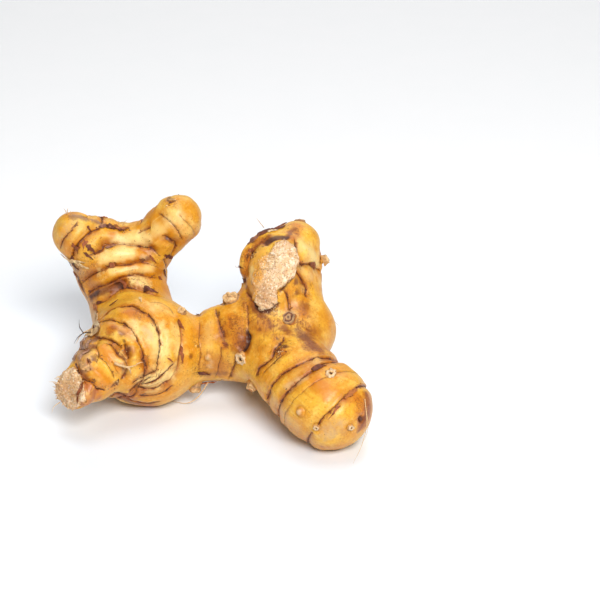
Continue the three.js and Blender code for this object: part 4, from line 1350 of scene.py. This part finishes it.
def make_stubs(ground, survey, draw, material):
    """The root stubs: those of the table, and seeded ones on the far sides."""
    stubs = Gather()
    for number, stub in enumerate(STUBS):
        add_stub(stubs, ground, *stub, STUB_SEED + number)
    x, _, z = ground.points.T
    far_side = (survey.normals @ TO_CAMERA < -0.4) & (z > 3) & (survey.seam_near < 0.3) & (x < 45)
    for number, index in enumerate(ground.spaced_spots(draw, *HIDDEN_STUBS, far_side)):
        kind = ["star", "tan", "grey", "bud"][draw.randint(4)]
        radius = draw.uniform(0.9, 2.1)
        if z[index] >= 6:
            form = (radius, 0.6 * radius, kind, HIDDEN_STUB_SEED + number)
            add_stub(stubs, ground, ground.points[index], survey.normals[index], *form)
    return stubs.build("root_stubs", material)


def add_bud_fibres(threads, ground, survey, draw):
    """Torn fibres on the bud's broken face, longer by its rim."""
    out = unit(BUD_BREAK[1])
    on_bud = (survey.cut > -0.6) & (ground.points[:, 0] < BUD_FACE_LIMIT)
    for index in draw.choice(np.flatnonzero(on_bud), BUD_FIBRE_COUNT):
        root, normal = ground.points[index], survey.normals[index]
        by_rim = survey.cut[index] < 0.8
        way = unit(out + draw.normal(0, 0.55, 3) + (0.3 * normal if by_rim else 0))
        length = draw.uniform(0.4, 1.5) if by_rim else draw.uniform(0.3, 0.8)
        middle = root + way * length * 0.5 + draw.normal(0, 0.12, 3)
        knots = [root - 0.2 * way, middle, root + way * length + draw.normal(0, 0.2, 3)]
        tint = any_tint(draw, "pale", "tan", "cream", "pale")
        add_strand(threads, knots, draw.uniform(0.10, 0.26), tint, sides=5, steps=2)


def add_scar_fibres(threads, ground, survey, draw):
    """Short torn fibres round the rim of the shoot's broken face."""
    by_rim = (survey.cut > -0.3) & (survey.cut < 0.9) & (ground.points[:, 0] > 0)
    bare = thin_skin(ground.points) < 0.2
    for index in draw.choice(np.flatnonzero(by_rim & bare), SCAR_FIBRE_COUNT):
        root = ground.points[index]
        lie = unit(SCAR_FIBRES) * draw.choice([-1, 1]) + 0.5 * unit(SHOOT_BREAK[1])
        way = unit(lie + draw.normal(0, 0.4, 3))
        length = draw.uniform(0.3, 0.9)
        middle = root + way * length * 0.5 + draw.normal(0, 0.08, 3)
        knots = [root - 0.15 * way, middle, root + way * length]
        add_strand(threads, knots, draw.uniform(0.08, 0.16), TINTS["cream"], sides=5, steps=2)


def add_hidden_rootlets(threads, ground, survey, draw):
    """Seeded rootlets on the far side, drooping as they grow out."""
    far_side = (survey.normals @ TO_CAMERA < -0.35) & (ground.points[:, 2] > 3)
    for index in ground.spaced_spots(draw, *HIDDEN_ROOTLETS, far_side):
        root, normal = ground.points[index], survey.normals[index]
        drift = draw.normal(0, 1.2, (3, 3))
        knots = [root - 0.2 * normal]
        for step in range(1, 4):
            droop = np.array((0, 0, 0.25 * step**2))
            knots.append(root + normal * 0.9 * step + drift[:step].sum(0) * 0.8 - droop)
        if min(knot[2] for knot in knots) > 0.4:
            add_strand(threads, knots, draw.uniform(0.12, 0.3), TINTS["thread"])


def make_rootlets(ground, survey, draw, material):
    threads = Gather()
    for thickness, knots in ROOTLETS:
        add_strand(threads, knots, thickness, TINTS["thread"])
    for thickness, knots in DARK_ROOTLETS:
        add_strand(threads, knots, thickness, TINTS["hole"])
    for add_more in (add_bud_fibres, add_scar_fibres, add_hidden_rootlets):
        add_more(threads, ground, survey, draw)
    return threads.build("rootlets", material)


# ---------------- Materials ----------------

# How the kinds of blot are painted, one after the other: (kind, colour, most cover, how ragged).
PAINTS = [
    ("yellow", (240, 178, 72), 0.8, 0.5),
    # The next kind is partly the skin's own darker tone, partly painted shade.
    ("deep_tone_and_shade", (184, 106, 14), 0.8, 0.4),
    # The next kind is mostly painted highlights.
    ("light", (252, 226, 150), 0.8, 0.3),
    ("pale", (222, 186, 134), 0.75, 0.8),
    ("pink", (178, 98, 58), 0.8, 0.4),
    ("flesh", (218, 138, 34), 0.95, 0.5),
    ("orange", (206, 118, 10), 0.75, 0.7),
    ("cork", (178, 134, 98), 0.85, 0.6),
    ("purple", (126, 80, 60), 0.8, 0.8),
    # The next kind is brown marks, and painted shade on the hub's right side.
    ("brown", (122, 58, 22), 0.8, 0.9),
]
# This kind goes over everything else, broken ends too. Two of its wide faint blots are painted shade.
LAST_PAINT = ("dark", (72, 34, 18), 0.9, 0.6)


class Graph:
    """Builds a material's nodes from plain calls. A value is a number, a colour or another node's output."""

    def __init__(self, name):
        self.material = bpy.data.materials.new(name)
        self.material.use_nodes = True
        self.tree = self.material.node_tree
        self.tree.nodes.clear()

    def give(self, node, key, value):
        if isinstance(value, bpy.types.NodeSocket):
            self.tree.links.new(value, node.inputs[key])
        else:
            node.inputs[key].default_value = value

    def add(self, kind, inputs=(), **settings):
        node = self.tree.nodes.new(kind)
        for key, value in settings.items():
            setattr(node, key, value)
        for key, value in dict(inputs).items():
            self.give(node, key, value)
        return node

    def read(self, name, output="Fac"):
        return self.add("ShaderNodeAttribute", attribute_name=name).outputs[output]

    def vector(self, operation, inputs):
        return self.add("ShaderNodeVectorMath", inputs, operation=operation)

    def place(self):
        """The point in the object's frame, in m."""
        return self.add("ShaderNodeTexCoord").outputs["Object"]

    def place_in_mm(self):
        return self.vector("SCALE", {0: self.place(), "Scale": 1 / MM}).outputs[0]

    def math(self, operation, first, second=0.0, third=0.0):
        inputs = {0: first, 1: second, 2: third}
        return self.add("ShaderNodeMath", inputs, operation=operation).outputs[0]

    def times(self, first, second):
        return self.math("MULTIPLY", first, second)

    def plus(self, first, second):
        return self.math("ADD", first, second)

    def minus(self, first, second):
        return self.math("SUBTRACT", first, second)

    def rise(self, value, low, high, top=1.0):
        """0 at low and top at high, or the other way round where low is above high."""
        inputs = {"Value": value, "From Min": low, "From Max": high, "To Max": top}
        return self.add("ShaderNodeMapRange", inputs, interpolation_type="SMOOTHSTEP").outputs[0]

    def mix(self, factor, below, above, blend="MIX"):
        node = self.add("ShaderNodeMix", data_type="RGBA", blend_type=blend)
        for index, value in ((0, factor), (6, below), (7, above)):
            self.give(node, index, value)
        return node.outputs[2]

    def noise(self, vector, scale, detail=2.0, roughness=0.5, distortion=0.0):
        names = ("Vector", "Scale", "Detail", "Roughness", "Distortion")
        inputs = dict(zip(names, (vector, scale, detail, roughness, distortion)))
        return self.add("ShaderNodeTexNoise", inputs).outputs["Fac"]

    def cells(self, vector, scale):
        return self.add("ShaderNodeTexVoronoi", {"Vector": vector, "Scale": scale}).outputs["Distance"]

    def shade(self, color, roughness, height=None, **settings):
        """The finished material: settings are the shader's other inputs, by name."""
        inputs = {"Base Color": color, "Roughness": roughness, "Coat Roughness": 0.34, "IOR": 1.4}
        if height is not None:
            bump = self.add("ShaderNodeBump", {"Height": height, "Distance": MM, "Strength": 1.0})
            inputs["Normal"] = bump.outputs[0]
        for name, value in settings.items():
            inputs[name.replace("_", " ").title()] = value
        shader = self.add("ShaderNodeBsdfPrincipled", inputs)
        self.add("ShaderNodeOutputMaterial", {"Surface": shader.outputs[0]})
        return self.material


class SkinGraph(Graph):
    """The rhizome's skin. Its colour is laid on in steps, each over what is there."""

    def __init__(self):
        super().__init__("galangal_skin")
        self.color = linear(236, 178, 54)
        self.spot = self.place_in_mm()
        self.grain = self.read("grain", "Vector")
        self.along = self.read("along")
        self.uneven = self.noise(self.spot, 0.9, 4, 0.7)

    def lay(self, factor, color):
        self.color = self.mix(factor, self.color, linear(*color))

    def patches(self, scale, detail, low, high, top=1.0, roughness=0.5):
        """Soft-edged patches, cut out of a noise."""
        return self.rise(self.noise(self.spot, scale, detail, roughness), low, high, top)

    def streaks(self, scale, stretch):
        """Noise drawn out along the fibres."""
        inputs = {"Vector": self.grain, "W": self.times(self.along, stretch), "Scale": scale, "Detail": 3}
        return self.add("ShaderNodeTexNoise", inputs, noise_dimensions="4D").outputs["Fac"]

    def paint_blots(self, name, color, most, ragged):
        """Lays on one kind of blot, with edges broken up by a noise."""
        part = self.read(name)
        broken = self.plus(part, self.times(self.minus(self.uneven, 0.5), ragged))
        self.lay(self.times(self.rise(broken, 0.0, 0.95, most), self.rise(part, 0.0, 0.3)), color)

    def paint_tones(self):
        """Gold between the rings, with darker and paler parts and fine lengthwise fibres. Hollows of the
        relief get painted shade, and swollen parts are paled as a painted highlight."""
        self.lay(self.patches(0.085, 2, 0.36, 0.62), (222, 147, 24))
        self.lay(self.patches(0.16, 3, 0.5, 0.7, 0.5), (247, 208, 104))
        self.fibre = self.streaks(1.2, 0.06)
        self.lay(self.rise(self.fibre, 0.48, 0.68, 0.38), (204, 124, 24))
        self.lay(self.rise(self.fibre, 0.46, 0.30, 0.35), (250, 214, 118))
        self.lay(self.patches(1.5, 4, 0.5, 0.7, 0.16, 0.7), (192, 112, 20))
        blotch = self.noise(self.spot, 0.45, 4, 0.65, 0.6)
        self.lay(self.rise(blotch, 0.54, 0.76, 0.34), (204, 116, 18))
        height = self.read("height")
        # Painted shade: the hollows of the relief are darkened.
        self.lay(self.rise(height, -0.1, -1.3, 0.8), (174, 94, 12))
        # Painted highlight: the swollen parts are paled.
        self.lay(self.rise(height, 0.1, 1.0, 0.4), (250, 208, 106))

    def paint_rust(self):
        """Fine brown mottles, dots, streaks and scratches."""
        rusty = self.read("rusty")
        mottle = self.noise(self.spot, 0.9, 5, 0.75, 0.8)
        self.lay(self.times(self.rise(mottle, 0.5, 0.6, 0.75), rusty), (140, 70, 14))
        dots = self.noise(self.spot, 1.8, 3, 0.7)
        self.lay(self.times(self.rise(dots, 0.54, 0.64, 0.8), rusty), (104, 48, 16))
        self.rusty_dots = self.times(dots, rusty)
        upright = self.vector("MULTIPLY", {0: self.spot, 1: (1.0, 0.25, 0.2)}).outputs[0]
        upright = self.rise(self.noise(upright, 1.5, 3, 0.6), 0.5, 0.62, 0.85)
        self.lay(self.times(upright, self.read("streaky")), (138, 74, 14))
        scratches = self.rise(self.streaks(2.2, 0.35), 0.58, 0.68, 0.6)
        self.lay(self.times(scratches, self.patches(0.25, 2, 0.42, 0.6)), (150, 80, 20))

    def paint_specks(self):
        """Small dark specks, mostly where a noise lets them come."""
        drawn = self.add("ShaderNodeCombineXYZ", {"X": self.times(self.along, 0.25)}).outputs[0]
        place = self.vector("ADD", {0: self.grain, 1: drawn}).outputs[0]
        specks = self.rise(self.cells(place, 0.85), 0.17, 0.10)
        self.lay(self.times(specks, self.patches(0.22, 2, 0.52, 0.62, 0.8)), (132, 68, 24))

    def paint_seams(self):
        """A stain on both sides, torn patches on the tip side and a thin dark line."""
        near = self.read("seam_near")
        self.ragged = self.noise(self.spot, 1.3, 3)
        edge = self.plus(self.read("seam"), self.times(self.minus(self.ragged, 0.5), 0.8))
        away = self.math("ABSOLUTE", edge)
        stain = self.times(self.rise(away, 1.0, 0.0, 0.85), near)
        self.lay(self.times(stain, self.patches(0.4, 2, 0.3, 0.6)), (158, 82, 18))
        torn_off = self.times(self.patches(0.4, 4, 0.52, 0.70, 1.7, 0.7), self.rise(near, 0.5, 0.85))
        patch = self.times(self.rise(self.minus(edge, torn_off), 0.12, -0.12), self.rise(edge, -0.25, 0.0))
        self.patch = self.times(patch, self.rise(torn_off, 0.15, 0.4))
        flake = self.mix(self.patches(1.1, 3, 0.4, 0.65), linear(88, 42, 22), linear(146, 82, 42))
        self.color = self.mix(self.times(self.patch, 0.85), self.color, flake)
        reach = self.times(self.read("seam_width"), self.patches(0.5, 2, 0.25, 0.75))
        gap = self.minus(away, self.times(reach, 0.12))
        self.line = self.times(self.rise(gap, 0.14, -0.05, 0.95), self.rise(near, 0.15, 0.6))
        self.lay(self.line, (70, 32, 14))

    def paint_broken_ends(self):
        """Pale fibrous flesh with brown bundles, yellow where the skin was torn thin, and a dark rim."""
        skin = self.color
        cut, yellow = self.read("cut"), self.read("yellow")
        self.on_cut = self.rise(cut, 0.0, self.math("MULTIPLY_ADD", yellow, 1.8, 0.25))
        self.bundles = self.rise(self.cells(self.spot, 1.6), 0.44, 0.18)
        self.torn = self.streaks(1.7, 0.35)
        self.color = linear(240, 208, 166)
        self.lay(self.patches(0.5, 3, 0.4, 0.65), (222, 180, 130))
        self.lay(self.times(self.read("buff"), 0.85), (204, 154, 104))
        self.lay(self.rise(yellow, 0.0, 0.95, 0.95), (238, 166, 52))
        self.lay(self.rise(self.torn, 0.52, 0.74, 0.5), (196, 132, 76))
        self.lay(self.rise(self.torn, 0.48, 0.3, 0.75), (255, 242, 218))
        self.lay(self.times(self.bundles, 0.62), (176, 114, 68))
        self.color = self.mix(self.on_cut, skin, self.color)
        off_rim = self.math("ABSOLUTE", self.plus(cut, 0.12))
        rim = self.times(self.rise(off_rim, 0.26, 0.05, 0.75), self.rise(self.ragged, 0.42, 0.58))
        self.lay(self.times(rim, self.minus(1.0, yellow)), (104, 52, 26))

    def finish(self):
        """Fine relief and roughness, and the finished material."""
        fine = self.noise(self.spot, 2.4, 4, 0.6)
        bumps = self.plus(self.times(self.fibre, 0.12), self.times(fine, 0.07))
        bumps = self.minus(bumps, self.times(self.line, 0.18))
        bumps = self.plus(bumps, self.times(self.patch, 0.10))
        bumps = self.minus(bumps, self.times(self.times(self.bundles, self.on_cut), 0.14))
        bumps = self.plus(bumps, self.times(self.times(self.torn, self.on_cut), 0.35))
        bumps = self.minus(bumps, self.times(self.rusty_dots, 0.25))
        rough = self.plus(self.rise(fine, 0.3, 0.7, 0.12), 0.33)
        rough = self.plus(rough, self.times(self.on_cut, 0.4))
        rough = self.plus(rough, self.times(self.read("pale"), 0.15))
        rough = self.minus(rough, self.times(self.read("flesh"), 0.08))
        scatter = {"subsurface_weight": 0.15, "subsurface_radius": (0.9, 0.45, 0.15)}
        return self.shade(self.color, rough, bumps, **scatter, subsurface_scale=0.8 * MM, coat_weight=0.24)


def skin_material():
    g = SkinGraph()
    g.paint_tones()
    for paint in PAINTS:
        g.paint_blots(*paint)
    g.paint_rust()
    g.paint_specks()
    g.paint_seams()
    g.paint_broken_ends()
    g.paint_blots(*LAST_PAINT)
    return g.finish()


def tinted_material(name, fiber_scale, roughness, bump):
    """A dry plant material whose colour comes from each point's tint."""
    g = Graph(name)
    grainy = g.noise(g.place_in_mm(), fiber_scale, 4, 0.65)
    color = g.mix(g.rise(grainy, 0.35, 0.7, 0.4), g.read("tint", "Color"), linear(150, 104, 72), "MULTIPLY")
    color = g.mix(g.rise(grainy, 0.5, 0.25, 0.35), color, linear(236, 206, 168), "SOFT_LIGHT")
    return g.shade(color, roughness, g.times(grainy, bump))


def floor_material():
    g = Graph("pale_floor")
    spot = g.place()
    color = g.mix(g.noise(spot, 60, 2), linear(248, 249, 250), linear(251, 251, 252))
    reach = g.vector("LENGTH", {0: spot}).outputs["Value"]
    # Painted tint: cooler and a little darker near the middle, to offset the warm light that the rhizome
    # throws on the floor.
    color = g.mix(g.rise(reach, 0.17, 0.05), color, linear(238, 244, 251))
    return g.shade(color, 0.36)


# ---------------- Camera, lights and floor ----------------

CAMERA_AIM = (30, 7.5, 32.2)
CAMERA_DISTANCE = 700
CAMERA_LENS = 126
LIGHT_AIM = (0, 0, 0.03)
# The lights, in metres and watts: (name, place, size, power, colour).
SOFTBOXES = [
    ("key", (0.20, -0.62, 0.66), (0.44, 0.36), 8.4, (1.0, 0.995, 0.985)),
    ("top", (0.0, 0.12, 0.95), (0.5, 0.5), 2.6, (1.0, 1.0, 1.0)),
    ("back", (0.1, 0.8, 0.6), (1.0, 0.4), 2.8, (1.0, 1.0, 1.0)),
    ("fill", (-0.75, -0.35, 0.5), (0.6, 0.6), 0.4, (0.95, 0.97, 1.0)),
]
SKY_COLOR = (0.95, 0.97, 1.0, 1)
SKY_STRENGTH = 0.16
# The floor: where its last flat ring and its curved rim lie, and how far the rim turns up.
FLOOR_INNER, FLOOR_FLAT, FLOOR_RIM, FLOOR_TURN = 200.0, 1400.0, 900.0, math.radians(80)
FLOOR_SIDES, FLOOR_STEPS = 96, 12


def aim_object(name, data, place, way):
    """A new object at a place in m, that looks along a way."""
    made = add_object(name, data)
    made.location = place
    made.rotation_mode = "QUATERNION"
    made.rotation_quaternion = way.to_track_quat("-Z", "Y")
    return made


def add_camera():
    """A long lens, looking down on the rhizome, with the rhizome left of the middle."""
    data = bpy.data.cameras.new("camera")
    data.lens = CAMERA_LENS
    data.clip_start = 0.01
    back = Vector(TO_CAMERA)
    place = Vector(CAMERA_AIM) * MM + back * CAMERA_DISTANCE * MM
    bpy.context.scene.camera = aim_object("camera", data, place, -back)


def add_softbox(name, place, size, power, color):
    data = bpy.data.lights.new(name, "AREA")
    data.shape = "RECTANGLE"
    data.size, data.size_y = size
    data.energy = power
    data.color = color
    aim_object(name, data, place, Vector(LIGHT_AIM) - Vector(place))


def add_light():
    world = bpy.data.worlds.new("studio")
    world.use_nodes = True
    sky = world.node_tree.nodes["Background"]
    sky.inputs["Color"].default_value = SKY_COLOR
    sky.inputs["Strength"].default_value = SKY_STRENGTH
    bpy.context.scene.world = world
    for softbox in SOFTBOXES:
        add_softbox(*softbox)


def add_floor():
    """A round floor whose rim curves up into a backdrop on every side."""
    profile = [(FLOOR_INNER, 0.0), (FLOOR_FLAT, 0.0)]
    for step in range(1, FLOOR_STEPS + 1):
        turn = FLOOR_TURN * step / FLOOR_STEPS
        profile.append((FLOOR_FLAT + FLOOR_RIM * math.sin(turn), FLOOR_RIM * (1 - math.cos(turn))))
    points = [(0.0, 0.0, 0.0)]
    for radius, height in profile:
        for side in range(FLOOR_SIDES):
            turn = 2 * math.pi * side / FLOOR_SIDES
            points.append((radius * math.cos(turn), radius * math.sin(turn), height))
    faces = [(0, 1 + side, 1 + (side + 1) % FLOOR_SIDES) for side in range(FLOOR_SIDES)]
    faces += [(a, d, c, b) for a, b, c, d in tube_faces(len(profile), FLOOR_SIDES, start=1)]
    make_mesh("floor", points, faces, floor_material())


# ---------------- The scene and its pieces ----------------

add_camera()
add_floor()
add_light()
bpy.context.scene.view_settings.view_transform = "Standard"

body, survey = make_body(skin_material())
ground = Ground(body)
draw = np.random.RandomState(GROWTH_SEED)
scales = make_scales(ground, survey, draw, tinted_material("papery_scale", 1.6, 0.55, 0.12))
stubs = make_stubs(ground, survey, draw, tinted_material("corky_stub", 1.8, 0.72, 0.25))
rootlets = make_rootlets(ground, survey, draw, tinted_material("root_fibre", 2.0, 0.6, 0.05))

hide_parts("rhizome")
for piece in (body, scales, stubs, rootlets):
    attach(piece, "root")
